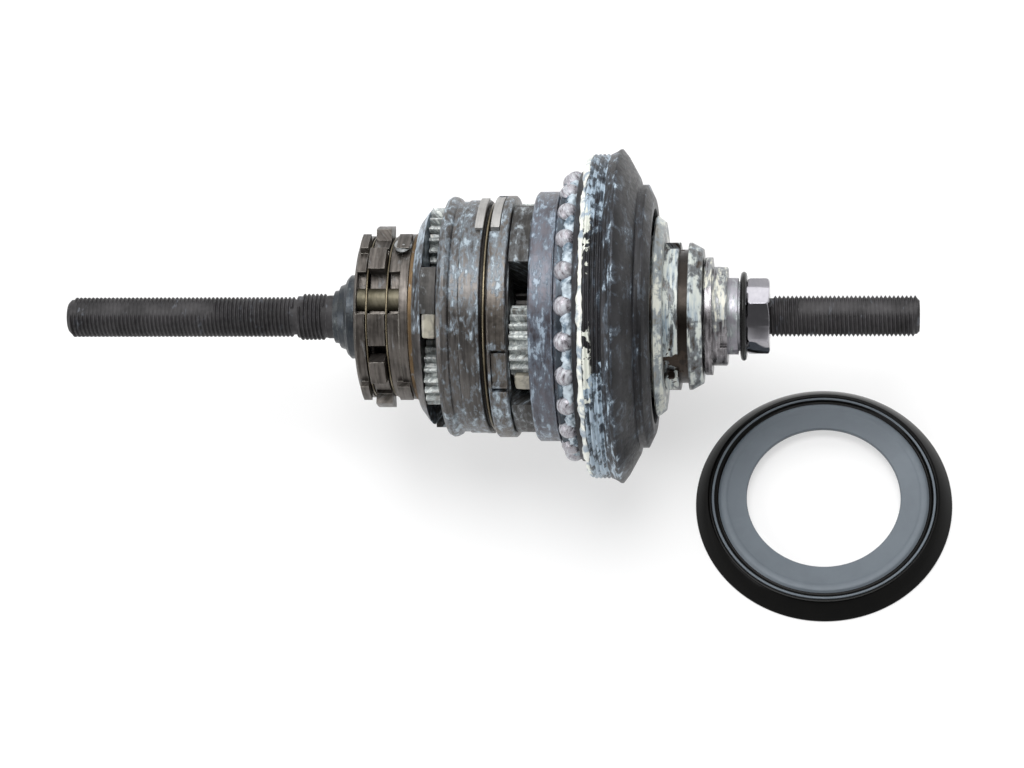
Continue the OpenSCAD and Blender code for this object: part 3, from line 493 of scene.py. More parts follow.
def loop(name: str, places: list[Vector]) -> Piece:
    """Starts a piece as one closed loop of edges.

    Args:
        name: The piece's name.
        places: The loop's corners, in metres.

    Returns:
        The new piece.
    """
    pick()
    bpy.ops.mesh.primitive_circle_add(vertices=len(places), fill_type="NOTHING")
    piece = bpy.context.object
    piece.name = name
    for vertex, place in zip(piece.data.vertices, places):
        vertex.co = place
    return piece


def turned(
    name: str, outline: Outline, sides: int, rounding: float = 0.0,
    spindle: Spindle = Spindle.ALONG, centre: Place = (0.0, 0.0, 0.0),
) -> Piece:
    """Turns a closed half outline into a ring.

    Args:
        name: The piece's name.
        outline: The outline's points.
        sides: Steps of the turn.
        rounding: Width of the rounded edges, or 0.
        spindle: The direction that the ring is turned about.
        centre: A point on its axis.

    Returns:
        The new piece.
    """
    middle = Vector(centre) * MM
    upright = spindle is Spindle.UPRIGHT
    places = [middle + Vector((r, 0.0, x) if upright else (x, 0.0, r)) * MM for r, x in outline]
    piece = loop(name, places)
    edit(piece)
    bpy.ops.mesh.spin(steps=sides, angle=TURN, center=middle, axis=spindle.value)
    close()
    edit(piece)
    bpy.ops.mesh.remove_doubles(threshold=0.002 * MM)
    close_outwards()
    if rounding > 0:
        round_edges(piece, rounding)
    smooth(piece)
    return piece


def dab(name: str, spot: Place, scale: Place, primitive: Callable, **settings: object) -> Piece:
    """Adds a primitive that lies on the outside of a ring.

    Args:
        name: The piece's name.
        spot: Its station, its distance from the axis and its angle about the axle, in degrees.
        scale: Half its length, width and height.
        primitive: The operator that adds the primitive.
        settings: The operator's own settings.

    Returns:
        The new piece.
    """
    station, radius, angle = spot
    turn = math.radians(angle)
    place = Vector((station, radius * math.cos(turn), radius * math.sin(turn))) * MM
    pick()
    primitive(location=place, rotation=(turn - TURN / 4, 0.0, 0.0), scale=scale, **settings)
    piece = bpy.context.object
    piece.name = name
    bpy.ops.object.transform_apply(location=True, rotation=True, scale=True)
    return piece


def apply(piece: Piece, kind: str, **settings: object) -> None:
    """Adds one modifier and applies it.

    Args:
        piece: The piece.
        kind: The modifier's type.
        settings: The modifier's own settings.
    """
    pick(piece)
    made = piece.modifiers.new(kind.lower(), kind)
    for key, value in settings.items():
        setattr(made, key, value)
    bpy.ops.object.modifier_apply(modifier=made.name)


def round_edges(piece: Piece, width: float, angle: float = 22.0, segments: int = 2) -> None:
    """Rounds the sharp edges.

    Args:
        piece: The piece.
        width: Width of the rounding.
        angle: Angle from which an edge is sharp.
        segments: Faces across the rounding.
    """
    apply(
        piece, "BEVEL", width=width * MM, segments=segments, limit_method="ANGLE",
        angle_limit=math.radians(angle), use_clamp_overlap=True,
    )


def cut(piece: Piece, tool: Piece, operation: str = "DIFFERENCE") -> None:
    """Cuts a piece with another one, which is used up."""
    apply(piece, "BOOLEAN", object=tool, operation=operation, solver="EXACT")
    bpy.data.objects.remove(tool)


def smooth(piece: Piece, angle: float = 30.0) -> None:
    """Shades a piece smooth, apart from edges that are sharper than an angle."""
    pick(piece)
    bpy.ops.object.shade_smooth_by_angle(angle=math.radians(angle))


def ruffle(piece: Piece, swell: float, size: float, depth: int = 2, sink: float = 0.0) -> None:
    """Makes a smooth piece lumpy, like grease.

    Args:
        piece: The piece.
        swell: How far the lumps reach.
        size: Size of the lumps.
        depth: Octaves of finer lumps.
        sink: Share of the swell that the whole surface sinks by.
    """
    lumps = bpy.data.textures.new(f"{piece.name}_lumps", "CLOUDS")
    lumps.noise_scale = size * MM
    lumps.noise_depth = depth
    apply(piece, "SUBSURF", levels=1, render_levels=1)
    apply(piece, "DISPLACE", texture=lumps, strength=swell * MM, mid_level=0.5 + sink)
    smooth(piece, 80.0)


@cache
def material_of(finish: Coating) -> Material:
    """Builds the material of a finish once."""
    return finish.material()


@dataclass
class SubAssembly:
    """A group of pieces that are built and dressed together."""

    frame: dict = field(default_factory=dict)

    @staticmethod
    def cover(piece: Piece, finish: Coating) -> None:
        """Gives a piece its finish."""
        piece.data.materials.clear()
        piece.data.materials.append(material_of(finish))

    def paint(self, finish: Coating, *nodes: str) -> None:
        """Gives some solids of the model their finish."""
        for node in nodes:
            self.cover(self.frame["nodes"][node], finish)

    def place(self, piece: Piece, finish: Coating, body: str, slot: Slot, *nodes: str) -> None:
        """Finishes a new piece, fixes it to its body and hides the solids that it stands for.

        Args:
            piece: The new piece.
            finish: Its finish.
            body: The body that it moves with.
            slot: Not used.
            nodes: The solids that it stands for.
        """
        self.cover(piece, finish)
        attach(piece, body)
        if nodes:
            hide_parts(*nodes)
        log.info("%s rides on %s", piece.name, body)


AXLE_FINISH = Finish(
    "axle_oxide", (0.023, 0.022, 0.023), (0.047, 0.045, 0.047), metal=0.3, rough=(0.5, 0.65),
    marks=0.2, wear=0.5, worn=(0.2, 0.19, 0.2), grease=0.1, thick=(0.2, 0.22, 0.26),
    film=(0.1, 0.11, 0.13), smear=320.0, shine=0.25, lean=(0.1, 0.11, 0.13),
)
STOP_FINISH = Finish(
    "stop_nut_oxide", (0.022, 0.028, 0.036), (0.05, 0.054, 0.056), metal=0.7, rough=(0.25, 0.45),
    wear=0.4, grease=0.15, thick=(0.2, 0.22, 0.2), film=(0.09, 0.11, 0.11), lean=(0.1, 0.11, 0.12),
)
CLUTCH_FINISH = Finish(
    "clutch_steel_warm", (0.042, 0.037, 0.033), (0.122, 0.11, 0.1), metal=0.85, rough=(0.3, 0.46),
    marks=0.55, wear=0.75, worn=(0.52, 0.5, 0.45), grease=0.12, thick=(0.36, 0.38, 0.4),
    film=(0.13, 0.135, 0.14), smear=420.0, lean=(0.16, 0.17, 0.18),
)
ROLLER_FINISH = Finish(
    "roller_olive", (0.07, 0.062, 0.04), (0.15, 0.136, 0.098), rough=(0.48, 0.6), wear=0.3,
)
WIRE_FINISH = Finish(
    "spring_wire", (0.09, 0.075, 0.05), (0.2, 0.17, 0.115), metal=0.9, rough=(0.24, 0.4),
    wear=0.1, rounding=0.05,
)
BRONZE_FINISH = Finish(
    "bronze", (0.09, 0.058, 0.03), (0.15, 0.102, 0.054), metal=0.85, rough=(0.45, 0.65),
    grease=0.15,
)
FLANGE_FINISH = Finish(
    "flange_steel", (0.05, 0.046, 0.044), (0.11, 0.102, 0.098), grease=0.5,
    thick=(0.34, 0.41, 0.47), film=(0.11, 0.132, 0.158), smear=560.0,
    patches=(
        Patch(-80.5, 3.0, turn=-62.0, half_turn=30.0, extra=0.1),
        Patch(-80.5, 3.0, turn=34.0, half_turn=24.0, extra=-0.21),
    ),
)
PILLAR_FINISH = Finish(
    "pillar_steel", (0.018, 0.017, 0.016), (0.052, 0.049, 0.046), metal=0.6, rough=(0.46, 0.62),
    grease=0.42, thick=(0.34, 0.38, 0.4), film=(0.07, 0.077, 0.084), smear=520.0,
    patches=(Patch(-77.0, 3.0, turn=-16.0, half_turn=14.0, extra=-0.12),),
)
RING_FINISH = Finish(
    "ring_gear_steel", (0.046, 0.043, 0.041), (0.106, 0.099, 0.094), rough=(0.28, 0.46), marks=0.6,
    wear=0.5, grease=0.5, thick=(0.34, 0.41, 0.46), film=(0.12, 0.145, 0.17), smear=620.0,
    patches=(
        # Painted shade: a near-black band, with the grease taken away, in the gap between the ring
        # gear and the pawl ring
        Patch(-64.15, 0.85, extra=-0.6, tone=(0.008, 0.007, 0.006)),
        Patch(-71.0, 5.5, turn=28.0, half_turn=22.0, extra=-0.1),
        Patch(-71.0, 5.5, turn=-4.0, half_turn=12.0, extra=-0.07),
    ),
)
RIGHT_RING_FINISH = Finish(
    "right_ring_steel", (0.058, 0.056, 0.066), (0.112, 0.108, 0.124), metal=0.7, rough=(0.28, 0.46),
    wear=0.4, grease=0.52, thick=(0.28, 0.35, 0.43), film=(0.085, 0.105, 0.138),
)
PAWL_FINISH = Finish(
    "pawl_steel", (0.052, 0.045, 0.039), (0.12, 0.107, 0.095), metal=0.85, rough=(0.28, 0.44),
    wear=0.5, grease=0.36, thick=(0.36, 0.43, 0.48), film=(0.125, 0.15, 0.175), smear=520.0,
    patches=(
        Patch(-61.2, 2.2, turn=-45.0, half_turn=30.0, extra=0.08),
        Patch(-61.2, 2.2, turn=2.0, half_turn=12.0, extra=-0.1),
        Patch(-61.2, 2.2, turn=48.0, half_turn=16.0, extra=0.09),
    ),
)
CLIP_FINISH = Finish(
    "clip_steel", (0.24, 0.236, 0.228), (0.38, 0.374, 0.362), metal=0.5, rough=(0.3, 0.45),
    wear=0.4,
)
TOOTH_FINISH = Finish(
    "tooth_steel", (0.2, 0.195, 0.18), (0.38, 0.38, 0.36), metal=0.6, rough=(0.26, 0.42),
    wear=0.8, worn=(0.8, 0.8, 0.74), grease=0.62, thick=(0.72, 0.75, 0.72),
    film=(0.34, 0.38, 0.39), smear=700.0, lean=(0.46, 0.5, 0.5),
)
HIDDEN_FINISH = Finish(
    "inner_steel", (0.045, 0.042, 0.041), (0.09, 0.084, 0.08), metal=0.7, grease=0.12,
)
BALL_FINISH = Finish(
    "ball_steel", (0.215, 0.2, 0.218), (0.335, 0.312, 0.33), metal=0.9, rough=(0.18, 0.32),
    marks=0.0, wear=0.0, grease=0.6, thick=(0.5, 0.51, 0.54), film=(0.33, 0.325, 0.36),
    smear=900.0, relief=0.01, film_share=0.7, lean=(0.36, 0.38, 0.42),
)
CAGE_FINISH = Finish(
    "cage_steel", (0.018, 0.024, 0.032), (0.06, 0.075, 0.092), metal=0.6, grease=0.34,
    thick=(0.5, 0.58, 0.64), film=(0.12, 0.17, 0.22), smear=420.0,
)
CUP_FINISH = Finish(
    "ball_cup_oxide", (0.006, 0.006, 0.007), (0.024, 0.024, 0.027), metal=0.4, rough=(0.34, 0.52),
    marks=0.7, wear=0.5, worn=(0.2, 0.22, 0.25), grease=0.22, thick=(0.4, 0.49, 0.57),
    film=(0.045, 0.06, 0.08), smear=460.0, streak=0.36, shine=0.35, lean=(0.2, 0.27, 0.34),
    patches=(
        Patch(-38.9, 2.4, extra=0.17),
        Patch(-38.9, 2.6, turn=-8.0, half_turn=26.0, extra=-0.18),
        Patch(-35.2, 1.2, extra=0.08),
        Patch(-36.0, 4.6, turn=52.0, half_turn=24.0, extra=0.06),
        Patch(-40.2, 0.9, turn=-31.0, half_turn=5.0, tone=(0.66, 0.68, 0.62), fray=11.0),
        Patch(-40.0, 1.1, turn=17.0, half_turn=8.0, tone=(0.66, 0.68, 0.62), fray=11.0),
    ),
)
DRIVER_FINISH = Finish(
    "driver_steel", (0.04, 0.031, 0.024), (0.12, 0.106, 0.094), metal=0.85, rough=(0.26, 0.42),
    wear=0.5, grease=0.4, thick=(0.56, 0.59, 0.55), film=(0.13, 0.15, 0.165), smear=300.0,
    marks=0.7, streak=0.42, lean=(0.27, 0.34, 0.4),
    patches=(
        Patch(-16.9, 1.7, extra=0.1),
        Patch(-22.4, 1.7, extra=0.13),
        # Painted shade: a darker band of the driver's own hue in its groove, with less grease there
        Patch(-19.65, 1.05, extra=-0.22, tone=(0.02, 0.016, 0.013)),
        # Bare steel without grease at a notch in the seat, darkened as painted shade of the notch
        Patch(-21.4, 2.8, turn=44.0, half_turn=9.5, extra=-0.5, tone=(0.035, 0.026, 0.02)),
    ),
)
DUST_RING_FINISH = Finish(
    "dust_ring_steel", (0.09, 0.088, 0.08), (0.36, 0.35, 0.31), metal=0.6, grease=0.61,
    thick=(0.6, 0.61, 0.54), film=(0.2, 0.24, 0.27), smear=360.0, marks=0.8,
    streak=0.42, lean=(0.32, 0.38, 0.42),
)
SLEEVE_FINISH = Finish(
    "sleeve_steel", (0.07, 0.064, 0.068), (0.29, 0.278, 0.29), metal=0.85, rough=(0.22, 0.38),
    wear=0.4, grease=0.42, thick=(0.64, 0.63, 0.54), film=(0.19, 0.21, 0.22), smear=320.0,
    marks=0.8, streak=0.46, lean=(0.36, 0.41, 0.44),
    patches=(
        Patch(-12.0, 3.2, turn=-40.0, half_turn=44.0, extra=0.1),
        Patch(-14.1, 0.9, turn=4.0, half_turn=34.0, extra=-0.29),
        Patch(-12.0, 3.2, turn=48.0, half_turn=36.0, extra=-0.16),
    ),
)
CONE_FINISH = Finish(
    "cone_steel", (0.23, 0.222, 0.25), (0.33, 0.322, 0.352), metal=0.7, rough=(0.34, 0.5),
    wear=0.4, grease=0.36, thick=(0.56, 0.6, 0.6), film=(0.3, 0.33, 0.34),
    streak=0.3, lean=(0.34, 0.38, 0.42),
)
NUT_FINISH = Finish(
    "bright_chrome", (0.3, 0.294, 0.32), (0.352, 0.345, 0.37), metal=1.0, rough=(0.05, 0.1),
    marks=0.2, wear=0.3, worn=(0.85, 0.85, 0.88), relief=0.004,
)
SEAL_FINISH = Finish(
    "seal_rubber", (0.004, 0.004, 0.004), (0.007, 0.007, 0.007), metal=0.0, rough=(0.22, 0.32),
    marks=0.1, wear=0.0, relief=0.01, shine=0.22,
)
PLATE_FINISH = Finish(
    "cap_paint", (0.1, 0.118, 0.137), (0.11, 0.13, 0.15), metal=0.1, rough=(0.42, 0.5),
    marks=0.0, wear=0.15, worn=(0.24, 0.27, 0.3), relief=0.004, grain=1400.0, shine=0.3,
)
LIP_FINISH = Finish(
    "cap_rubber", (0.0015, 0.0015, 0.0014), (0.0022, 0.0021, 0.0019), metal=0.0, rough=(0.12, 0.17),
    marks=0.0, wear=0.0, relief=0.001, shine=0.08,
)
BEAD_GREASE = GreaseFinish(
    "bead_grease", (0.74, 0.75, 0.69), (0.27, 0.33, 0.39), fineness=240.0, cover=(0.4, 0.53),
)
BEARING_GREASE = GreaseFinish("bearing_grease", (0.5, 0.58, 0.64), (0.1, 0.15, 0.2))
CREAM_GREASE = GreaseFinish("cream_grease", (0.34, 0.32, 0.26), (0.2, 0.19, 0.165))
CLUMP_GREASE = GreaseFinish("clump_grease", (0.26, 0.27, 0.27), (0.07, 0.075, 0.08))


@dataclass
class Studio:
    """The floor, the lamps and the camera."""

    eye: Place = (13.543, -317.603, 563.160)
    yaw: float = 0.239279
    pitch: float = 1.069784
    roll: float = -0.209649
    focal_pixels: float = 2761.19
    picture_width: float = 1024.0
    sensor: float = 36.0
    clip: Point = (0.01, 50.0)
    floor_radius: float = 600.0
    floor_sides: int = 128
    floor_gap: float = 0.02
    floor_glow: float = 0.55
    floor_tone: Colour = (0.93, 0.93, 0.93)
    dark_way: Colour = (0.02, -0.49, 0.87)
    shade_range: Point = (0.70, 0.94)
    dark_share: float = 0.15
    room_light: float = 0.52
    room_white: float = 1.0
    aim: Place = (-50.0, 0.0, 0.0)
    lamps: tuple[tuple[str, Place, float, float], ...] = (
        ("key_lamp", (-60.0, 60.0, 700.0), 460.0, 4.4),
        ("back_lamp", (-80.0, 560.0, 460.0), 600.0, 1.5),
        ("left_lamp", (-620.0, -380.0, 420.0), 420.0, 2.2),
        ("right_lamp", (640.0, -240.0, 360.0), 420.0, 0.3),
    )

    def build(self) -> None:
        """Makes the whole studio."""
        bpy.context.scene.view_settings.view_transform = "Standard"
        self._camera()
        self._floor()
        self._world()
        for lamp in self.lamps:
            self._lamp(*lamp)
        log.info("studio built")

    def _camera(self) -> None:
        """Sets the camera at the photographed angle."""
        data = bpy.data.cameras.new("camera")
        data.sensor_width = self.sensor
        data.lens = self.focal_pixels / self.picture_width * self.sensor
        data.clip_start, data.clip_end = self.clip
        camera = bpy.data.objects.new("camera", data)
        camera.matrix_world = Matrix.Translation(Vector(self.eye) * MM)
        for angle, axis in ((self.yaw, "Z"), (TURN / 4 - self.pitch, "X"), (self.roll, "Z")):
            camera.matrix_world = camera.matrix_world @ Matrix.Rotation(angle, 4, axis)
        bpy.context.scene.collection.objects.link(camera)
        bpy.context.scene.camera = camera

    def _floor(self) -> None:
        """Makes the plain pale floor, part glow where it is seen, so that it shows white."""
        pick()
        low = (0.0, 0.0, (FLOOR_Z - self.floor_gap) * MM)
        bpy.ops.mesh.primitive_circle_add(
            vertices=self.floor_sides, radius=self.floor_radius * MM, fill_type="NGON", location=low
        )
        floor = bpy.context.object
        floor.name = "floor"
        wires = Wiring(bpy.data.materials.new("floor_paper"))
        paper = wires.node("BsdfDiffuse", (*self.floor_tone, 1.0)).outputs[0]
        glow = wires.node("Emission", WHITE, 1.0).outputs[0]
        share = wires.times(wires.seen(), self.floor_glow)
        wires.show(wires.node("MixShader", share, paper, glow))
        floor.data.materials.append(wires.owner)

    def _world(self) -> None:
        """Lights the room softly and shows it white, but for one dark way that metal reflects."""
        wires = Wiring(bpy.data.worlds.new("room"))
        bpy.context.scene.world = wires.owner
        way = wires.node("TexCoord").outputs["Generated"]
        facing = wires.vector("DOT_PRODUCT", way, self.dark_way).outputs[1]
        shade = wires.span(facing, *self.shade_range, 1.0, self.dark_share)
        level = wires.blend(wires.seen(), self.room_light, self.room_white)
        room = wires.node("Background", WHITE, wires.times(level, shade))
        wires.show(room, "OutputWorld")

    def _lamp(self, name: str, place: Place, size: float, power: float) -> None:
        """Adds a soft square lamp that points at the object.

        Args:
            name: The lamp's name.
            place: Its place.
            size: Its width.
            power: Its power in watts.
        """
        data = bpy.data.lights.new(name, "AREA")
        data.shape = "SQUARE"
        data.size = size * MM
        data.energy = power
        lamp = bpy.data.objects.new(name, data)
        lamp.location = Vector(place) * MM
        way = Vector(self.aim) * MM - lamp.location
        lamp.rotation_euler = way.to_track_quat("-Z", "Y").to_euler()
        bpy.context.scene.collection.objects.link(lamp)


@dataclass
class Axle(SubAssembly):
    """The long axle with its threads and flats, and the dark stop nut and washer on its left."""

    radius: float = 4.75
    root: float = 4.2
    pitch: float = 0.977
    flat: float = 4.2
    left_tip: float = -167.15
    right_tip: float = 34.5
    tip_bevel: float = 0.6
    large_radius: float = 5.5
    large_root: float = 4.95
    large_start: float = -111.45
    large_end: float = -104.25
    left_end: float = -111.65
    right_start: float = -0.4
    left_flat_end: float = -131.95
    right_flat_start: float = 6.4
    shaft_steps: Outline = (
        (5.1, -96.25), (6.5, -82.4), (7.5, -48.25), (7.0, -20.9), (6.0, -5.3), (4.53, -0.42),
    )
    ridge_foot: Point = (0.02, 0.98)
    ridge_top: Point = (0.42, 0.58)
    foot_depth: float = 0.06
    ridge_steps: int = 36
    fade_start: float = 0.05
    fade_length: float = 0.75

    def build(self) -> None:
        """Makes the axle's core and its three threads."""
        outline = [(0.0, self.left_tip), (self.root - self.tip_bevel, self.left_tip)]
        start = self.left_tip + self.tip_bevel
        for radius, end in (
            (self.root, self.large_start), (self.large_root, self.large_end), *self.shaft_steps,
            (self.root, self.right_tip - self.tip_bevel),
        ):
            outline += [(radius, start), (radius, end)]
            start = end
        outline += [(self.root - self.tip_bevel, self.right_tip), (0.0, self.right_tip)]
        core = turned("axle_core", outline, 64)
        left = self._thread("left_thread", self.radius, self.root, self.left_tip, self.left_end)
        large = self._thread(
            "large_thread", self.large_radius, self.large_root, self.large_start, self.large_end
        )
        right = self._thread(
            "right_thread", self.radius, self.root, self.right_start, self.right_tip
        )
        self._flatten(left, self.left_tip - self.pitch, self.left_flat_end)
        self._flatten(right, self.right_flat_start, self.right_tip + self.pitch)
        pick(core, left, large, right)
        bpy.ops.object.join()
        core.name = "threaded_axle"
        smooth(core, 35.0)
        self.place(core, AXLE_FINISH, "axle_assembly", Slot.AXLE, "axle")
        self.paint(STOP_FINISH, "left_stop_nut", "left_thrust_washer")

    def _thread(self, name: str, crest: float, root: float, start: float, end: float) -> Piece:
        """Winds one ridge of a thread, which fades out at both ends.

        Args:
            name: The ridge's name.
            crest: Radius of its crest.
            root: Radius of the core below it.
            start: Station of its left end.
            end: Station of its right end.

        Returns:
            The ridge.
        """
        turns = int((end - start) / self.pitch)
        first = start + (end - start - turns * self.pitch) / 2
        foot = root - self.foot_depth
        (foot_left, foot_right), (top_left, top_right) = self.ridge_foot, self.ridge_top
        section = [(foot_left, foot), (top_left, crest), (top_right, crest), (foot_right, foot)]
        places = [Vector((first + share * self.pitch, 0.0, r)) * MM for share, r in section]
        ridge = loop(name, places)
        apply(
            ridge, "SCREW", axis="X", angle=TURN, screw_offset=self.pitch * MM,
            iterations=turns - 1, steps=self.ridge_steps, render_steps=self.ridge_steps,
        )
        edit(ridge, "DESELECT")
        bpy.ops.mesh.select_non_manifold(extend=False)
        bpy.ops.mesh.fill_holes(sides=4)
        close_outwards()
        for vertex in ridge.data.vertices:
            x, y, z = (c / MM for c in vertex.co)
            away = max(min(x - start, end - x) - self.fade_start, 0.0)
            most = min(crest, foot + away * (crest - root) / self.fade_length)
            radius = math.hypot(y, z)
            if radius > most:
                vertex.co = Vector((x, y * most / radius, z * most / radius)) * MM
        return ridge

    def _flatten(self, ridge: Piece, start: float, end: float) -> None:
        """Presses the thread's crests down to the two flats.

        Args:
            ridge: The thread.
            start: Station where the flats begin.
            end: Station where they end.
        """
        for side in (1.0, -1.0):
            edit(ridge, "DESELECT")
            close()
            for vertex in ridge.data.vertices:
                inside = start * MM < vertex.co.x < end * MM
                vertex.select = inside and vertex.co.z * side > self.flat * MM
            bpy.ops.object.mode_set(mode="EDIT")
            bpy.ops.mesh.select_mode(type="VERT")
            level = (0.0, 0.0, side * self.flat * MM)
            bpy.ops.transform.resize(value=(1.0, 1.0, 0.0), center_override=level)
            close()


@dataclass
class Clutch(SubAssembly):
    """The roller and pawl clutch left of the carrier."""

    clump_spot: Place = (-84.6, 20.2, VIEW_TURN - 58.0)
    clump_size: Place = (2.0, 3.6, 0.45)
    clump_swell: float = 1.1
    clump_grain: float = 1.4

    def build(self) -> None:
        """Dresses the clutch's solids, and puts a clump of grease on a lug of its right ring."""
        self.paint(
            CLUTCH_FINISH, "clutch_ring_left", "clutch_ring_middle", "clutch_ring_right",
            "clutch_pawl_pins", "clutch_pawl_1", "clutch_pawl_2", "clutch_pawl_3",
        )
        self.paint(ROLLER_FINISH, "clutch_rollers")
        self.paint(WIRE_FINISH, "clutch_springs")
        self.paint(BRONZE_FINISH, "bronze_washer")
        self.paint(HIDDEN_FINISH, "clutch_drum")
        clump = dab(
            "clutch_grease", self.clump_spot, self.clump_size, bpy.ops.mesh.primitive_uv_sphere_add,
            segments=32, ring_count=16, radius=MM,
        )
        ruffle(clump, self.clump_swell, self.clump_grain)
        self.place(clump, CLUMP_GREASE, "carrier", Slot.RUBBER)


@dataclass
class GearTrain(SubAssembly):
    """The carrier with its planets, the suns and the two ring gears."""

    lumps: tuple[tuple[Place, Place], ...] = (
        ((-76.7, 24.6, VIEW_TURN + 3.0), (1.5, 2.9, 1.4)),
        ((-55.6, 25.2, VIEW_TURN + 34.0), (1.9, 1.9, 1.0)),
    )
    lump_rounding: float = 0.5
    lump_swell: float = 0.5
    lump_grain: float = 2.0

    def build(self) -> None:
        """Dresses the gear train's solids, and puts cream lumps of grease into its windows."""
        self.paint(FLANGE_FINISH, "carrier_left_flange")
        self.paint(PILLAR_FINISH, "carrier_web")
        for number, (spot, size) in enumerate(self.lumps, 1):
            name = f"carrier_grease_{number}"
            lump = dab(name, spot, size, bpy.ops.mesh.primitive_cube_add, size=2.0 * MM)
            round_edges(lump, self.lump_rounding, segments=3)
            apply(lump, "SUBSURF", subdivision_type="SIMPLE", levels=2, render_levels=2)
            ruffle(lump, self.lump_swell, self.lump_grain, depth=1)
            self.place(lump, CREAM_GREASE, "carrier", Slot.RUBBER)
        self.paint(
            HIDDEN_FINISH, "carrier_end_plate", "right_sun_gear", "left_sun_gear", "sun_spacer",
            "left_planet_pins", "right_planet_pins", "ring_gear_snap_ring",
        )
        self.paint(BRONZE_FINISH, "sun_thrust_washer")
        planets = (f"{side}_planet_{n}" for n in (1, 2, 3) for side in ("left", "right"))
        self.paint(TOOTH_FINISH, *planets)
        self.paint(RING_FINISH, "left_ring_gear")
        self.paint(RIGHT_RING_FINISH, "right_ring_gear")
        self.paint(PAWL_FINISH, "pawl_ring", "ring_pawl_1", "ring_pawl_2", "ring_pawl_pins")
        self.paint(WIRE_FINISH, "ring_pawl_spring")
        self.paint(CLIP_FINISH, "left_spring_clips", "right_spring_clips")


def arc(station: float, radius: float, degrees: range) -> list[Point]:
    """Finds points on a circle round the path of the main bearing's balls.

    Args:
        station: The circle's station.
        radius: Its radius.
        degrees: The points' angles.

    Returns:
        The points of the outline.
    """
    turns = map(math.radians, degrees)
    return [(BALL_CIRCLE + radius * math.sin(t), station + radius * math.cos(t)) for t in turns]


@dataclass
class MainBearing(SubAssembly):
    """The large ball bearing, and the small one inside the driver."""

    grease_station: float = -44.5
    grease_radius: float = 1.35
    grease_swell: float = 1.5
    grease_grain: float = 1.2
    grease_sink: float = 0.02

    def build(self) -> None:
        """Dresses the bearings' solids, and packs grease between the large bearing's balls."""
        self.paint(BALL_FINISH, "main_bearing_balls", "driver_bearing_balls")
        self.paint(CAGE_FINISH, "main_bearing_cage", "driver_bearing_cage")
        section = arc(self.grease_station, self.grease_radius, range(0, 360, 30))
        packing = turned("bearing_packing", section, 300)
        ruffle(packing, self.grease_swell, self.grease_grain, sink=self.grease_sink)
        self.place(packing, BEARING_GREASE, "main_bearing", Slot.RUBBER)


@dataclass
class BallCup(SubAssembly):
    """The right ball cup with its shell thread, and the bead of grease along its left edge."""

    race: float = 2.44
    crest: float = 38.0
    root: float = 37.5
    thread_left: float = -40.4
    thread_pitch: float = 0.97
    thread_steps: Point = (0.42, 0.84)
    thread_count: int = 4
    body_outline: Outline = (
        (32.37, -41.6), (30.7, -41.6), (30.7, -33.7), (27.2, -29.6), (25.2, -28.2), (25.2, -26.6),
        (27.6, -26.6), (30.8, -28.1), (30.8, -29.8), (32.6, -30.2), (37.4, -32.8), (39.1, -34.1),
        (39.1, -34.5), (38.7, -35.0), (38.1, -36.2),
    )
    edge_outline: Outline = ((38.0, -40.4), (37.2, -41.1), (34.0, -41.1), (34.0, -43.41))
    bead_outline: Outline = (
        (36.0, -41.0), (35.8, -41.5), (36.15, -41.95), (36.9, -42.0), (37.45, -41.55),
        (37.75, -41.0), (37.75, -40.75), (37.3, -40.7), (36.7, -40.85),
    )
    bead_swell: float = 2.0
    bead_grain: float = 5.2
    bead_sink: float = 0.03

    def build(self) -> None:
        """Turns the cup, with its thread's grooves, and lays the bead that squeezed out of it."""
        grooves: list[Point] = []
        for number in range(self.thread_count, 0, -1):
            right = self.thread_left + number * self.thread_pitch
            foot, left = (right - step for step in self.thread_steps)
            grooves += [(self.crest, right), (self.root, foot), (self.crest, left)]
        race = arc(BALL_STATION, self.race, range(40, 10, -5))
        outline = [*race, *self.body_outline, *grooves, *self.edge_outline]
        cup = turned("threaded_ball_cup", outline, 180, rounding=0.1)
        self.place(cup, CUP_FINISH, "ball_cup", Slot.DARK, "right_ball_cup")
        bead = turned("cup_edge_grease", self.bead_outline, 360)
        ruffle(bead, self.bead_swell, self.bead_grain, sink=self.bead_sink)
        self.place(bead, BEAD_GREASE, "ball_cup", Slot.RUBBER)


